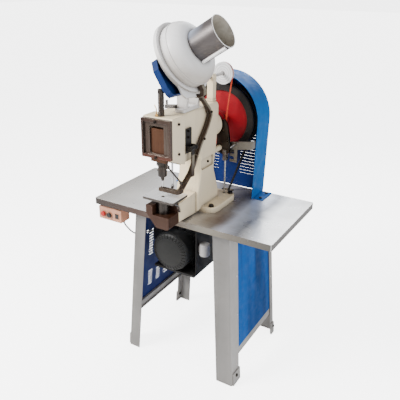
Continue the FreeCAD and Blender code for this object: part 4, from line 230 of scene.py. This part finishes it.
def paint(name, color, rough, spec, dirt, dirt_and_shade_color, wear=0.35, bare=(0.20, 0.18, 0.16),
          reflection_bands=0.0, front=1.0):
    """Sprayed paint on metal: orange peel, faint cloudiness, optional painted reflection stripes,
    front faces and corners painted darker as shade, rubbed edges, some grime.
    """
    look = Look(name, rough=rough, spec=spec)
    look.soft_edges(0.0012)
    cloud = look.noise(5.0, 4.0)
    tone = look.blend(cloud, 0.32, 0.68, shade(color, 0.86), shade(color, 1.10))
    # Painted reflections: long stripes of lighter and darker copies of the paint colour.
    if reflection_bands:
        band = look.strand((9.0, 9.0, 0.7), detail=2.0, rough=0.4)
        tone = look.blend(band, 0.42, 0.58, tone, shade(color, 1.9), reflection_bands)
        band = look.strand((14.0, 14.0, 0.9), (0, 0, 0.7), detail=2.0, rough=0.4)
        tone = look.blend(band, 0.50, 0.64, tone, shade(color, 0.45), reflection_bands)
    speck = look.noise(240.0, 2.0)
    tone = look.blend(speck, 0.62, 0.75, tone, shade(color, 1.4), 0.10)
    # Painted shade: faces turned to the front are darkened by the factor front.
    if front < 1.0:
        shaded_front = look.span(look.normal_axis("Y"), -0.6, -0.95)
        tone = look.mix(shaded_front, tone, (front, front, front), "MULTIPLY")
    smear = look.noise(11.0, 6.0, 0.7, distort=0.8)
    tone = look.blend(smear, 0.58, 0.80, tone, dirt_and_shade_color, dirt)
    # Painted shade: corners and slots take the dirt colour.
    tone = look.mix(look.corner_shade(0.010, 0.75), tone, dirt_and_shade_color)
    rub = look.times(look.edges(), look.span(look.noise(60.0, 5.0, 0.7), 0.48, 0.62))
    tone = look.mix(look.times(rub, wear), tone, bare)
    look.bump(look.noise(420.0, 2.0), 0.12, 0.0006)
    gloss = look.span(look.noise(30.0, 4.0), 0.3, 0.75, rough * 0.8, rough * 1.35)
    return look.done(tone, gloss)


def steel(name, color, rough, grain, lines=0.25, stain=0.2, stain_and_shade_color=(0.12, 0.075, 0.045),
          edge=0.0005, metal=1.0):
    """Bare machined or rolled steel with grain along one way and oil stains, painted shade in corners
    and painted highlights along edges.
    """
    look = Look(name, rough=rough, metal=metal)
    look.soft_edges(edge)
    strand = look.strand(grain)
    tone = look.blend(strand, 0.35, 0.65, shade(color, 0.78), shade(color, 1.20))
    film = look.noise(14.0, 6.0, 0.65, distort=1.2)
    tone = look.blend(film, 0.50, 0.78, tone, stain_and_shade_color, stain)
    # Painted shade: corners and slots take a darker copy of the stain colour.
    tone = look.mix(look.corner_shade(0.008), tone, shade(stain_and_shade_color, 0.5))
    # Painted highlight: edges take a lighter copy of the steel colour.
    tone = look.mix(look.times(look.edges(0.0016), 0.45), tone, shade(color, 1.9))
    look.bump(strand, lines, 0.0004)
    gloss = look.span(look.noise(26.0, 5.0), 0.3, 0.72, rough * 0.72, rough * 1.45)
    return look.done(tone, gloss)


def plastic(name, color, rough, through=0.0):
    look = Look(name, rough=rough, spec=0.4)
    look.soft_edges(0.0008)
    cloud = look.noise(18.0, 3.0)
    tone = look.blend(cloud, 0.3, 0.7, shade(color, 0.90), shade(color, 1.07))
    scuff = look.strand((90.0, 90.0, 14.0), detail=5.0, rough=0.7)
    tone = look.blend(scuff, 0.62, 0.78, tone, shade(color, 1.4), 0.22)
    # Painted shade: corners and slots take a much darker copy of the colour.
    tone = look.mix(look.corner_shade(0.006, 0.7), tone, shade(color, 0.3))
    look.bump(look.noise(900.0, 2.0), 0.10, 0.0003)
    gloss = look.span(scuff, 0.35, 0.75, rough * 0.85, rough * 1.5)
    if through:
        look.shader.inputs["Subsurface Weight"].default_value = through
        look.shader.inputs["Subsurface Scale"].default_value = 0.004
    return look.done(tone, gloss)


def pulley_look():
    """Pale moulded nylon pulley: rings of painted light and shade round its middle, oily round the
    shaft, painted shade in corners.
    """
    look = Look("clear nylon", rough=0.30, spec=0.5)
    look.soft_edges(0.0008)
    low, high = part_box("hopper_pulley")
    middle = ((low[0] + high[0]) / 2, 0.0, (low[2] + high[2]) / 2)
    reach = look.round_reach(middle, SQUARE_TO_Y)
    # Painted light and shade: lighter and darker rings round the middle, with a matching bump.
    ring = look.math("SINE", look.times(reach, 620.0))
    tone = look.blend(ring, -1.0, 1.0, (0.62, 0.62, 0.62), (0.88, 0.88, 0.88))
    cloud = look.noise(30.0, 4.0)
    tone = look.blend(cloud, 0.35, 0.7, tone, (0.42, 0.43, 0.47), 0.4)
    tone = look.blend(reach, 0.013, 0.008, tone, (0.34, 0.32, 0.30), 0.6)
    # Painted shade: corners and slots darkened.
    tone = look.mix(look.corner_shade(0.008, 0.8), tone, (0.18, 0.16, 0.15))
    look.bump(ring, 0.12, 0.0004)
    return look.done(tone, look.span(cloud, 0.3, 0.7, 0.24, 0.4))


def rubber(name, color, rough, weave=0.0):
    look = Look(name, rough=rough, spec=0.3)
    cloud = look.noise(40.0, 4.0)
    tone = look.blend(cloud, 0.3, 0.7, shade(color, 0.75), shade(color, 1.2))
    dust = look.noise(120.0, 5.0, 0.7)
    tone = look.blend(dust, 0.60, 0.80, tone, (0.30, 0.26, 0.23), 0.15)
    look.bump(look.noise(700.0, 3.0), 0.25 + weave, 0.0004)
    return look.done(tone, look.span(cloud, 0.3, 0.7, rough * 0.85, rough * 1.2))


def cream_casting():
    """Sprayed casting: fine sand texture, drips of oil, painted shade on faces turned to +X and in
    corners, a dark milled face and rubbed edges.
    """
    color = (0.85, 0.715, 0.485)
    look = Look("cream casting", rough=0.36, spec=0.45)
    look.soft_edges(0.0028)
    cloud = look.noise(4.0, 4.0)
    tone = look.blend(cloud, 0.3, 0.7, shade(color, 0.90), shade(color, 1.08))
    run = look.strand((26.0, 26.0, 3.5), detail=5.0, rough=0.65, distort=0.6)
    tone = look.blend(run, 0.53, 0.78, tone, (0.34, 0.26, 0.17), 0.42)
    spots = look.noise(75.0, 3.0, 0.6)
    tone = look.blend(spots, 0.66, 0.76, tone, (0.20, 0.14, 0.09), 0.5)
    # Painted shade: faces turned to +X are darkened.
    side = look.span(look.normal_axis("X"), 0.45, 0.95, 0.0, 0.30)
    tone = look.mix(side, tone, (0.42, 0.37, 0.32))
    # Painted shade: corners and recesses take a dark brown.
    tone = look.mix(look.corner_shade(0.022, 0.85), tone, (0.13, 0.10, 0.075))
    across = look.away(look.axis("X"), 0.0)
    milled = look.times(look.span(across, MILLED_HALF, MILLED_HALF - 0.001),
                        look.span(look.axis("Z"), MILLED_BOTTOM, MILLED_BOTTOM + 0.002))
    milled = look.times(milled, look.span(look.normal_axis("Y"), -0.90, -0.97))
    milled = look.times(milled, look.span(look.axis("Y"), MILLED_FRONT, MILLED_FRONT - 0.005))
    tone = look.mix(milled, tone, (0.065, 0.042, 0.032))
    rub = look.times(look.edges(0.003), look.span(look.noise(45.0, 5.0, 0.7), 0.47, 0.60))
    tone = look.mix(look.times(rub, 0.6), tone, (0.22, 0.18, 0.15))
    look.bump(look.noise(26.0, 3.0), 0.25, 0.0012)
    look.bump(look.noise(330.0, 3.0), 0.22, 0.0005)
    return look.done(tone, look.span(run, 0.3, 0.75, 0.28, 0.55))


def hopper_paint():
    """Pale grey sprayed castings of the hopper: painted light on upper faces and shade on lower ones,
    painted shade in their seams, rims rubbed pale and painted as highlight.
    """
    color = (0.74, 0.725, 0.705)
    look = Look("hopper paint", rough=0.36, spec=0.45)
    look.soft_edges(0.002)
    cloud = look.noise(6.0, 4.0)
    # Painted light and shade: faces turned up are near white, faces turned down are brown grey.
    upper = look.span(look.normal_axis("Z"), -0.35, 0.65)
    tone = look.mix(upper, (0.46, 0.415, 0.36), (0.95, 0.95, 0.97))
    tone = look.blend(cloud, 0.3, 0.7, tone, color, 0.35)
    smear = look.noise(10.0, 6.0, 0.7, distort=0.9)
    tone = look.blend(smear, 0.55, 0.80, tone, (0.32, 0.27, 0.21), 0.30)
    # Painted shade: seams and corners take a dark brown.
    tone = look.mix(look.corner_shade(0.020, 0.9), tone, (0.12, 0.095, 0.075))
    # Rims rubbed pale, and also a painted highlight along them.
    rim = look.times(look.edges(0.003), look.span(look.noise(40.0, 4.0), 0.35, 0.6))
    tone = look.mix(look.times(rim, 0.8), tone, (0.82, 0.79, 0.74))
    spots = look.noise(90.0, 3.0, 0.6)
    tone = look.blend(spots, 0.68, 0.76, tone, (0.18, 0.14, 0.10), 0.4)
    look.bump(look.noise(300.0, 3.0), 0.18, 0.0005)
    return look.done(tone, look.span(smear, 0.3, 0.75, 0.28, 0.5))


def funnel_sheet():
    """Rolled sheet: dark brushed outside with painted highlight stripes, painted shade and a painted
    bluish highlight near the bowl, beige inside with painted shade towards the bowl, bright rim and
    seam.
    """
    look = Look("rolled sheet", rough=0.40, metal=1.0)
    near = look.vector("SUBTRACT", look.place, FUNNEL_MIDDLE)
    along = look.vector("DOT_PRODUCT", near, FUNNEL_AXIS)
    scaled = look.vector("SCALE", FUNNEL_AXIS, None, along)
    around = look.vector("SUBTRACT", near, scaled)
    reach = look.vector("LENGTH", around)
    outward = look.vector("NORMALIZE", around)
    inward = look.span(look.vector("DOT_PRODUCT", outward, look.normal()), -0.4, -0.6)
    strand = look.strand((14.0, 260.0, 260.0), FUNNEL_TURN)
    wide = look.strand((1.5, 17.0, 17.0), FUNNEL_TURN, 2.0, 0.4)
    tone = look.blend(strand, 0.35, 0.65, (0.080, 0.069, 0.065), (0.102, 0.089, 0.085))
    # Painted highlight: soft lighter stripes along the funnel.
    tone = look.blend(wide, 0.42, 0.62, tone, (0.11, 0.098, 0.10), 0.45)
    # Painted shade at the end by the bowl, and a painted bluish highlight on its upper faces there.
    near_bowl = look.span(along, 0.130, 0.070, 0.0, 0.8)
    gleam = look.times(look.span(look.normal_axis("Z"), 0.35, 0.75), near_bowl)
    tone = look.mix(look.times(look.span(along, 0.100, 0.065), 0.5), tone, (0.05, 0.048, 0.055))
    tone = look.mix(look.times(gleam, look.span(wide, 0.45, 0.55)), tone, (0.50, 0.56, 0.70))
    smear = look.noise(16.0, 6.0, 0.7, distort=1.0)
    tone = look.blend(smear, 0.58, 0.78, tone, (0.26, 0.20, 0.15), 0.4)
    # dust holds the beige inside colour; below it is painted darker towards the bowl as shade.
    dust = look.blend(smear, 0.35, 0.65, (0.40, 0.355, 0.29), (0.60, 0.56, 0.48))
    dust = look.blend(along, 0.150, 0.070, dust, (0.22, 0.19, 0.15), 0.75)
    tone = look.mix(inward, tone, dust)
    bright = look.math("MAXIMUM", look.span(along, FUNNEL_RIM, FUNNEL_RIM + 0.001),
                       look.span(reach, FUNNEL_SEAM, FUNNEL_SEAM + 0.0015))
    tone = look.mix(bright, tone, (0.86, 0.84, 0.83))
    look.bump(strand, 0.04, 0.0004)
    plain = look.math("SUBTRACT", 1.0, look.math("MAXIMUM", inward, bright))
    look.set(look.shader.inputs["Metallic"], look.times(0.55, plain))
    gloss = look.span(smear, 0.3, 0.75, 0.30, 0.46)
    return look.done(tone, look.math("ADD", look.times(inward, 0.35), gloss))


def table_steel():
    """Folded stainless sheet: fine scratches, wide soft tones, painted reflections across its top, a
    painted shadow beside the base, painted shade in corners and on its side faces, a darker brown
    front lip painted with tones of reflection.
    """
    look = Look("table steel", rough=0.30, metal=0.45)
    look.soft_edges(0.0012)
    strand = look.strand((5.0, 620.0, 620.0))
    wide = look.strand((3.2, 5.5, 5.0), (0, 0, 0.6), 3.0, 0.5, 0.5)
    base = look.blend(strand, 0.35, 0.65, (0.46, 0.455, 0.45), (0.66, 0.655, 0.65))
    across = look.axis("X")
    way = look.math("ADD", across, look.span(wide, 0.3, 0.7, -0.022, 0.022))
    # Painted reflections: tones across the table from brown grey to bluish white, set along X.
    painted_reflection = look.ramp(look.span(way, -TABLE_HALF, TABLE_HALF),
                      (0.0, (0.40, 0.38, 0.35)), (0.14, (0.72, 0.71, 0.69)),
                      (0.30, (0.92, 0.94, 0.99)), (0.44, (0.92, 0.94, 0.99)),
                      (0.52, (0.34, 0.31, 0.26)), (0.575, (0.60, 0.55, 0.50)),
                      (0.68, (0.09, 0.060, 0.042)), (0.74, (0.58, 0.64, 0.80)),
                      (0.82, (0.045, 0.058, 0.10)), (0.89, (0.88, 0.89, 0.90)),
                      (1.0, (0.95, 0.95, 0.94)))
    base = look.mix(0.80, base, look.blend(strand, 0.3, 0.7, painted_reflection, base, 0.25))
    tone = look.blend(wide, 0.46, 0.72, base, (0.30, 0.28, 0.265), 0.35)
    smudge = look.noise(9.0, 6.0, 0.7, distort=1.0)
    tone = look.blend(smudge, 0.60, 0.78, tone, (0.22, 0.18, 0.15), 0.35)
    # Painted shadow: a brown patch on the table beside the base.
    painted_shadow = look.times(look.span(look.away(across, TABLE_SHADOW[0]), 0.060, 0.030),
                       look.span(look.away(look.axis("Y"), TABLE_SHADOW[1]), 0.090, 0.040))
    painted_shadow = look.times(painted_shadow, look.span(smudge, 0.3, 0.6, 0.3, 0.75))
    tone = look.mix(painted_shadow, tone, (0.17, 0.115, 0.075))
    # Painted shade: corners and slots darkened.
    tone = look.mix(look.corner_shade(0.030, 0.7), tone, (0.09, 0.075, 0.065))
    # Front lip painted with brown and beige tones of reflection along its length.
    lip = look.ramp(look.span(across, -TABLE_HALF, TABLE_HALF),
                    (0.0, (0.012, 0.006, 0.004)), (0.28, (0.045, 0.019, 0.011)),
                    (0.48, (0.09, 0.055, 0.035)), (0.62, (0.26, 0.235, 0.19)),
                    (0.8, (0.12, 0.105, 0.085)), (1.0, (0.075, 0.070, 0.060)))
    front = look.span(look.normal_axis("Y"), -0.6, -0.95)
    lip = look.blend(strand, 0.3, 0.7, lip, (0.20, 0.17, 0.14), 0.06)
    tone = look.mix(front, tone, lip)
    # Painted shade: faces turned to -X and to +X are darkened.
    left = look.span(look.normal_axis("X"), -0.6, -0.95)
    tone = look.mix(left, tone, (0.06, 0.045, 0.04))
    side = look.span(look.normal_axis("X"), 0.6, 0.95)
    brushed = look.blend(strand, 0.3, 0.7, (0.085, 0.075, 0.068), (0.14, 0.125, 0.115))
    tone = look.mix(side, tone, brushed)
    metal = look.math("SUBTRACT", 0.45, look.times(front, 0.35))
    look.set(look.shader.inputs["Metallic"], metal)
    look.bump(strand, 0.12, 0.0003)
    gloss = look.span(look.noise(7.0, 5.0), 0.3, 0.7, 0.20, 0.38)
    return look.done(tone, gloss)


def work_steel():
    """Ground work plate: bright top with brush lines and an oil film, side faces and corners painted
    dark as shade.
    """
    look = Look("work plate", rough=0.28, metal=0.5)
    look.soft_edges(0.0006)
    strand = look.strand((500.0, 9.0, 500.0))
    tone = look.blend(strand, 0.35, 0.65, (0.72, 0.72, 0.74), (0.90, 0.90, 0.92))
    film = look.noise(18.0, 6.0, 0.65, distort=1.2)
    tone = look.blend(film, 0.56, 0.78, tone, (0.30, 0.28, 0.27), 0.3)
    # Painted shade: faces not turned up are darkened.
    shaded_sides = look.span(look.normal_axis("Z"), 0.7, 0.3)
    tone = look.mix(shaded_sides, tone, (0.065, 0.055, 0.048))
    # Painted shade: corners darkened.
    tone = look.mix(look.corner_shade(0.006, 0.7), tone, (0.05, 0.04, 0.035))
    look.bump(strand, 0.10, 0.0003)
    return look.done(tone, look.span(film, 0.3, 0.7, 0.22, 0.4))


def track_steel():
    """Worn brown track: oily dark front, lighter rubbed side, nearly black hinge bracket, painted
    shade in corners and painted highlights along edges.
    """
    look = Look("track steel", rough=0.38, metal=0.6)
    look.soft_edges(0.0006)
    strand = look.strand((600.0, 40.0, 90.0))
    tone = look.blend(strand, 0.35, 0.65, (0.040, 0.025, 0.017), (0.074, 0.051, 0.035))
    height = look.axis("Z")
    side = look.times(look.span(look.normal_axis("X"), 0.35, 0.75),
                      look.span(height, WORN_FROM, WORN_TO))
    film = look.noise(24.0, 6.0, 0.65, distort=1.0)
    worn = look.blend(film, 0.35, 0.65, (0.15, 0.125, 0.09), (0.30, 0.27, 0.21))
    tone = look.mix(side, tone, worn)
    tone = look.blend(film, 0.52, 0.78, tone, BROWN, 0.5)
    black = look.times(look.span(height, HINGE_LOW, HINGE_LOW + 0.005),
                       look.span(height, HINGE_HIGH, HINGE_HIGH - 0.005))
    black = look.times(look.span(look.axis("Y"), HINGE_BACK, HINGE_BACK - 0.004), black)
    tone = look.mix(black, tone, (0.014, 0.012, 0.011))
    # Painted shade in corners, then a painted highlight along edges.
    tone = look.mix(look.corner_shade(0.008, 0.7), tone, (0.02, 0.012, 0.008))
    tone = look.mix(look.times(look.edges(0.0016), 0.4), tone, (0.20, 0.165, 0.125))
    look.bump(strand, 0.25, 0.0004)
    return look.done(tone, look.span(film, 0.3, 0.72, 0.30, 0.52))


def cover_plate():
    """Milled square cover: brown grey bronze, painted shade to the left, reddish along the bottom,
    painted highlights along edges, painted shade in corners.
    """
    look = Look("cover plate", rough=0.34, metal=0.7)
    look.soft_edges(0.0012)
    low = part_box("head_cover")[0]
    strand = look.strand((600.0, 600.0, 12.0))
    tone = look.blend(strand, 0.35, 0.65, (0.0720, 0.0516, 0.0408), (0.1200, 0.0912, 0.0750))
    # Painted shade: darker towards the left side.
    tone = look.blend(look.axis("X"), low[0] + 0.05, low[0], tone, (0.0330, 0.0168, 0.0132), 0.6)
    rim = look.span(look.axis("Y"), low[1] + 0.0045, low[1] + 0.0030, 0.0, 0.55)
    tone = look.mix(rim, tone, (0.0510, 0.0252, 0.0192))
    foot = look.span(look.axis("Z"), low[2] + 0.018, low[2] + 0.002, 0.0, 0.8)
    tone = look.mix(foot, tone, (0.1320, 0.0390, 0.0240))
    film = look.noise(20.0, 6.0, 0.65, distort=1.2)
    tone = look.blend(film, 0.50, 0.75, tone, (0.0780, 0.0450, 0.0300), 0.45)
    # Painted highlight along edges, then painted shade in corners.
    tone = look.mix(look.times(look.edges(0.002), 0.55), tone, (0.3480, 0.3000, 0.2580))
    tone = look.mix(look.corner_shade(0.010, 0.85), tone, (0.0210, 0.0132, 0.0096))
    look.bump(strand, 0.2, 0.0004)
    return look.done(tone, look.span(film, 0.3, 0.72, 0.24, 0.46))


def fan_cover():
    """Dark moulded dome: satin, dusty towards its lower rim, painted shade in corners and painted
    highlights along edges.
    """
    look = Look("fan cover", rough=0.50, spec=0.22)
    look.soft_edges(0.001)
    low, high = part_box("motor_fan_cover")
    cloud = look.noise(14.0, 5.0)
    tone = look.blend(cloud, 0.3, 0.7, (0.0062, 0.0065, 0.0067), (0.0115, 0.0118, 0.0120))
    fall = look.span(look.axis("Z"), high[2], low[2], 0.0, 0.75)
    dust = look.noise(50.0, 6.0, 0.7)
    tone = look.mix(look.times(fall, look.span(dust, 0.25, 0.65)), tone, (0.0288, 0.0274, 0.0250))
    # Painted shade in corners, then a painted highlight along edges.
    tone = look.mix(look.corner_shade(0.008, 0.8), tone, (0.0038, 0.0038, 0.0038))
    tone = look.mix(look.times(look.edges(0.002), 0.4), tone, (0.0768, 0.0744, 0.0720))
    look.bump(look.noise(520.0, 2.0), 0.22, 0.0004)
    return look.done(tone, look.span(dust, 0.3, 0.7, 0.36, 0.6))


def flywheel_iron():
    """Red painted web, dark rim with a rubbed running face."""
    look = Look("flywheel", rough=0.45, spec=0.2)
    look.soft_edges(0.0012)
    reach = look.round_reach((0.0, 0.0, SHAFT_HEIGHT), SQUARE_TO_Y)
    cloud = look.noise(9.0, 5.0)
    red = look.blend(cloud, 0.3, 0.7, (0.22, 0.006, 0.012), (0.34, 0.010, 0.017))
    grease = look.noise(22.0, 6.0, 0.7, distort=1.0)
    red = look.blend(grease, 0.56, 0.78, red, (0.10, 0.02, 0.015), 0.45)
    rim = look.blend(cloud, 0.3, 0.7, (0.012, 0.011, 0.011), (0.028, 0.025, 0.024))
    rim = look.blend(grease, 0.60, 0.78, rim, (0.13, 0.10, 0.085), 0.5)
    edge = look.math("ADD", reach, look.span(look.noise(90.0, 3.0), 0.0, 1.0, -0.0012, 0.0012))
    tone = look.blend(edge, WEB_RADIUS, WEB_RADIUS + 0.001, red, rim)
    tone = look.blend(edge, HUB_RADIUS, HUB_RADIUS - 0.001, tone, (0.10, 0.085, 0.08))
    # Painted shade: corners and recesses darkened.
    tone = look.mix(look.corner_shade(0.012, 0.8), tone, (0.02, 0.008, 0.007))
    look.bump(look.noise(260.0, 3.0), 0.18, 0.0006)
    return look.done(tone, look.span(grease, 0.3, 0.75, 0.30, 0.52))


def brush_look():
    look = Look("bristles", rough=0.75, spec=0.3)
    fine = look.strand((900.0, 900.0, 900.0), rough=0.55)
    tone = look.blend(fine, 0.3, 0.7, (0.34, 0.27, 0.17), (0.62, 0.54, 0.38))
    look.bump(fine, 0.8, 0.0015)
    return look.done(tone)


def floor_look():
    """White studio floor, seen as bright as the backdrop and lighting the machine as a pale floor."""
    look = Look("pale floor", rough=0.9, spec=0.1)
    soft = look.noise(0.8, 2.0)
    seen = look.nodes.new("ShaderNodeLightPath")
    look.shader.inputs["Emission Color"].default_value = (1.0, 1.0, 1.0, 1.0)
    glow = look.times(seen.outputs["Is Camera Ray"], BACKDROP)
    look.set(look.shader.inputs["Emission Strength"], glow)
    return look.done(look.blend(soft, 0.3, 0.7, (0.93, 0.93, 0.93), (0.96, 0.96, 0.96)))


# One look for each name, and the look that each node has

LOOKS = {
    "cream": cream_casting(),
    "table": table_steel(),
    "flywheel": flywheel_iron(),
    "grey": paint("grey frame paint", (0.2812, 0.2698, 0.2584), 0.44, 0.35, wear=0.5, dirt=0.28,
                  dirt_and_shade_color=(0.16, 0.12, 0.09), reflection_bands=0.22, front=0.66),
    "panel": paint("panel blue", (0.0018, 0.048, 0.195), 0.50, 0.05, bare=(0.05, 0.10, 0.2),
                   dirt=0.2, dirt_and_shade_color=(0.004, 0.02, 0.07), reflection_bands=0.7),
    "dark": paint("dark blue", (0.006, 0.018, 0.105), 0.46, 0.12, bare=(0.10, 0.12, 0.20),
                  dirt=0.3, dirt_and_shade_color=(0.012, 0.012, 0.03), reflection_bands=0.2),
    "guard": paint("guard blue", (0.004, 0.108, 0.365), 0.50, 0.08, bare=(0.2, 0.3, 0.45),
                   dirt=0.2, dirt_and_shade_color=(0.01, 0.06, 0.2), reflection_bands=0.25),
    "cover": paint("cover blue", (0.008, 0.026, 0.108), 0.44, 0.12, bare=(0.1, 0.2, 0.4),
                   dirt=0.15, dirt_and_shade_color=(0.01, 0.02, 0.08)),
    "bowl": hopper_paint(),
    "bracket": paint("black bracket", (0.0122, 0.0114, 0.0114), 0.5, 0.25, wear=0.25,
                     bare=(0.08, 0.075, 0.07), dirt=0.3, dirt_and_shade_color=(0.05, 0.04, 0.035)),
    "motor": paint("motor charcoal", (0.0152, 0.016, 0.0175), 0.48, 0.3, wear=0.25,
                   bare=(0.08, 0.08, 0.08), dirt=0.35, dirt_and_shade_color=(0.06, 0.055, 0.05)),
    "fan_cover": fan_cover(),
    "bronze": steel("oiled brown iron", (0.046, 0.018, 0.009), 0.38, (700.0, 700.0, 10.0), stain=0.55,
                    stain_and_shade_color=(0.055, 0.024, 0.014), edge=0.001, metal=0.45),
    "slide": steel("oiled slide bronze", (0.082, 0.031, 0.012), 0.38, (700.0, 700.0, 10.0), stain=0.5,
                   stain_and_shade_color=(0.07, 0.024, 0.012), edge=0.001, metal=0.5),
    "cover_plate": cover_plate(),
    "bush": steel("bush bronze", (0.60, 0.36, 0.13), 0.32, (300.0, 5.0, 300.0)),
    "dark_steel": steel("blued steel", (0.0646, 0.057, 0.0517), 0.34, (500.0, 500.0, 14.0), stain=0.4,
                        stain_and_shade_color=(0.10, 0.052, 0.028), edge=0.0008),
    "track": track_steel(),
    "bright": steel("ground steel", (0.45, 0.44, 0.43), 0.25, (12.0, 700.0, 700.0), stain=0.30),
    "plate": work_steel(),
    "chrome": steel("polished steel", (0.66, 0.66, 0.67), 0.14, (300.0, 300.0, 8.0),
                    lines=0.08, stain=0.12),
    "zinc": steel("zinc plated", (0.28, 0.265, 0.245), 0.36, (260.0, 260.0, 260.0), stain=0.35),
    "black_bolt": steel("black oxide", (0.0342, 0.0304, 0.0274), 0.38, (300.0, 300.0, 300.0)),
    "funnel": funnel_sheet(),
    "brush": brush_look(),
    "nylon": plastic("nylon wheel", (0.66, 0.62, 0.52), 0.42, through=0.1),
    "pulley": pulley_look(),
    "orange": rubber("orange cord", (0.5472, 0.057, 0.0213), 0.42),
    "belt": rubber("belt rubber", (0.0152, 0.0137, 0.0137), 0.62, 0.3),
    "black": plastic("black plastic", (0.0137, 0.0137, 0.0144), 0.36),
    "light": plastic("grey can", (0.42, 0.41, 0.41), 0.36),
    "peach": plastic("peach plastic", (0.56, 0.27, 0.17), 0.42),
    "red": plastic("red plastic", (0.418, 0.0114, 0.0091), 0.32),
    "lead": rubber("lead sheath", (0.1292, 0.1292, 0.133), 0.5),
}

USES = {
    "table_top": "table", "side_frame_left": "grey", "side_frame_right": "grey",
    "side_panel_left": "dark", "side_panel_right": "panel", "hex_bolts": "black_bolt",
    "socket_screws": "black_bolt", "panel_screws": "chrome", "machine_frame": "cream",
    "shaft_bushes": "bush", "head_cover": "cover_plate", "ram_slide": "slide",
    "ram_spindle": "dark_steel", "needle_chuck": "dark_steel", "needle": "chrome",
    "side_rod": "chrome", "track_link": "dark_steel",
    "adjusting_barrel": "dark_steel", "stay_bar": "bright", "oil_nipple": "bush",
    "anvil_block": "bronze", "anvil_post": "dark_steel", "thumb_screw": "dark_steel",
    "work_plate": "plate", "plate_bracket": "bright", "hopper_carrier": "bowl", "hopper_bowl": "bowl",
    "hopper_funnel": "funnel", "hopper_brush": "brush", "worm_wheel": "nylon", "worm_shaft": "bright",
    "hopper_pulley": "pulley", "drive_bracket": "cream", "gear_cover": "cover",
    "round_belt": "orange", "feed_track_upper": "track", "feed_track_lower": "track",
    "crankshaft": "chrome", "clutch_sleeve": "dark_steel", "flywheel": "flywheel", "v_belt": "belt",
    "trip_lever": "dark_steel", "trip_rod": "bright", "trip_spring": "chrome", "guard_bar": "zinc",
    "belt_guard": "guard", "guard_back": "dark", "motor_body": "motor", "motor_fan_cover": "fan_cover",
    "motor_rotor": "bright", "motor_pulley": "dark_steel", "terminal_box": "black",
    "capacitor": "light", "motor_shelf": "bracket", "switch_box": "peach", "stop_button": "red",
    "start_button": "black", "rocker_switch": "black", "switch_lead": "lead", "lead_clips": "light",
}

for name, node in NODES.items():
    mesh = node.data
    mesh.materials.clear()
    mesh.materials.append(LOOKS[USES[name]])
    mesh.shade_smooth()
    mesh.set_sharp_from_angle(angle=SHARP_ANGLE)


# Floor, light, camera

def plane(name, size, z):
    mesh = bpy.data.meshes.new(name)
    half = size / 2
    mesh.from_pydata([(-half, -half, z), (half, -half, z), (half, half, z), (-half, half, z)], [],
                     [(0, 1, 2, 3)])
    obj = bpy.data.objects.new(name, mesh)
    bpy.context.scene.collection.objects.link(obj)
    return obj


FLOOR_SIZE = 60.0
FLOOR_HEIGHT = -0.0005
floor = plane("floor", FLOOR_SIZE, FLOOR_HEIGHT)
floor.data.materials.append(floor_look())


def lamp(name, place, target, size, power, color):
    data = bpy.data.lights.new(name, "AREA")
    data.shape = "RECTANGLE"
    data.size = size
    data.size_y = size
    data.energy = power
    data.color = color
    obj = bpy.data.objects.new(name, data)
    obj.location = place
    way = Vector(target) - Vector(place)
    obj.rotation_euler = way.to_track_quat("-Z", "Y").to_euler()
    bpy.context.scene.collection.objects.link(obj)


lamp("key", place=(-1.9, -2.4, 3.0), target=(0, 0, 0.9), size=1.6, power=262.0,
     color=(1.0, 0.985, 0.96))
lamp("fill", place=(3.0, -1.2, 1.6), target=(0, 0, 0.6), size=1.8, power=62.0,
     color=(0.95, 0.975, 1.0))
lamp("back", place=(-0.4, 2.6, 2.6), target=(0, 0, 1.1), size=1.8, power=62.0,
     color=(0.94, 0.97, 1.0))

world = bpy.data.worlds.new("studio")
world.use_nodes = True
bpy.context.scene.world = world
tree = world.node_tree
back = tree.nodes["Background"]
back.inputs["Color"].default_value = (1.0, 1.0, 1.0, 1.0)
seen = tree.nodes.new("ShaderNodeLightPath")
strength = tree.nodes.new("ShaderNodeMapRange")
strength.inputs["To Min"].default_value = WORLD_LIGHT
strength.inputs["To Max"].default_value = BACKDROP
tree.links.new(seen.outputs["Is Camera Ray"], strength.inputs["Value"])
tree.links.new(strength.outputs[0], back.inputs["Strength"])

SENSOR_WIDTH = 36.0
FOCAL_SHARE = 511.8 / 400.0
azimuth = math.radians(30.3)
pitch = math.radians(23.5)
roll = math.radians(0.6)
eye = Vector((1.0689, -1.8611, 1.7131))
forward = Vector((-math.sin(azimuth) * math.cos(pitch), math.cos(azimuth) * math.cos(pitch),
                  -math.sin(pitch)))
level = Vector((math.cos(azimuth), math.sin(azimuth), 0.0))
upward = level.cross(forward)
right = level * math.cos(roll) + upward * math.sin(roll)
upward = upward * math.cos(roll) - level * math.sin(roll)
camera_data = bpy.data.cameras.new("camera")
camera_data.sensor_width = SENSOR_WIDTH
camera_data.lens = SENSOR_WIDTH * FOCAL_SHARE
camera_data.clip_start = 0.05
camera_data.clip_end = 200.0
camera = bpy.data.objects.new("camera", camera_data)
turn = Matrix((right, upward, -forward)).transposed().to_4x4()
camera.matrix_world = Matrix.Translation(eye) @ turn
bpy.context.scene.collection.objects.link(camera)
bpy.context.scene.camera = camera
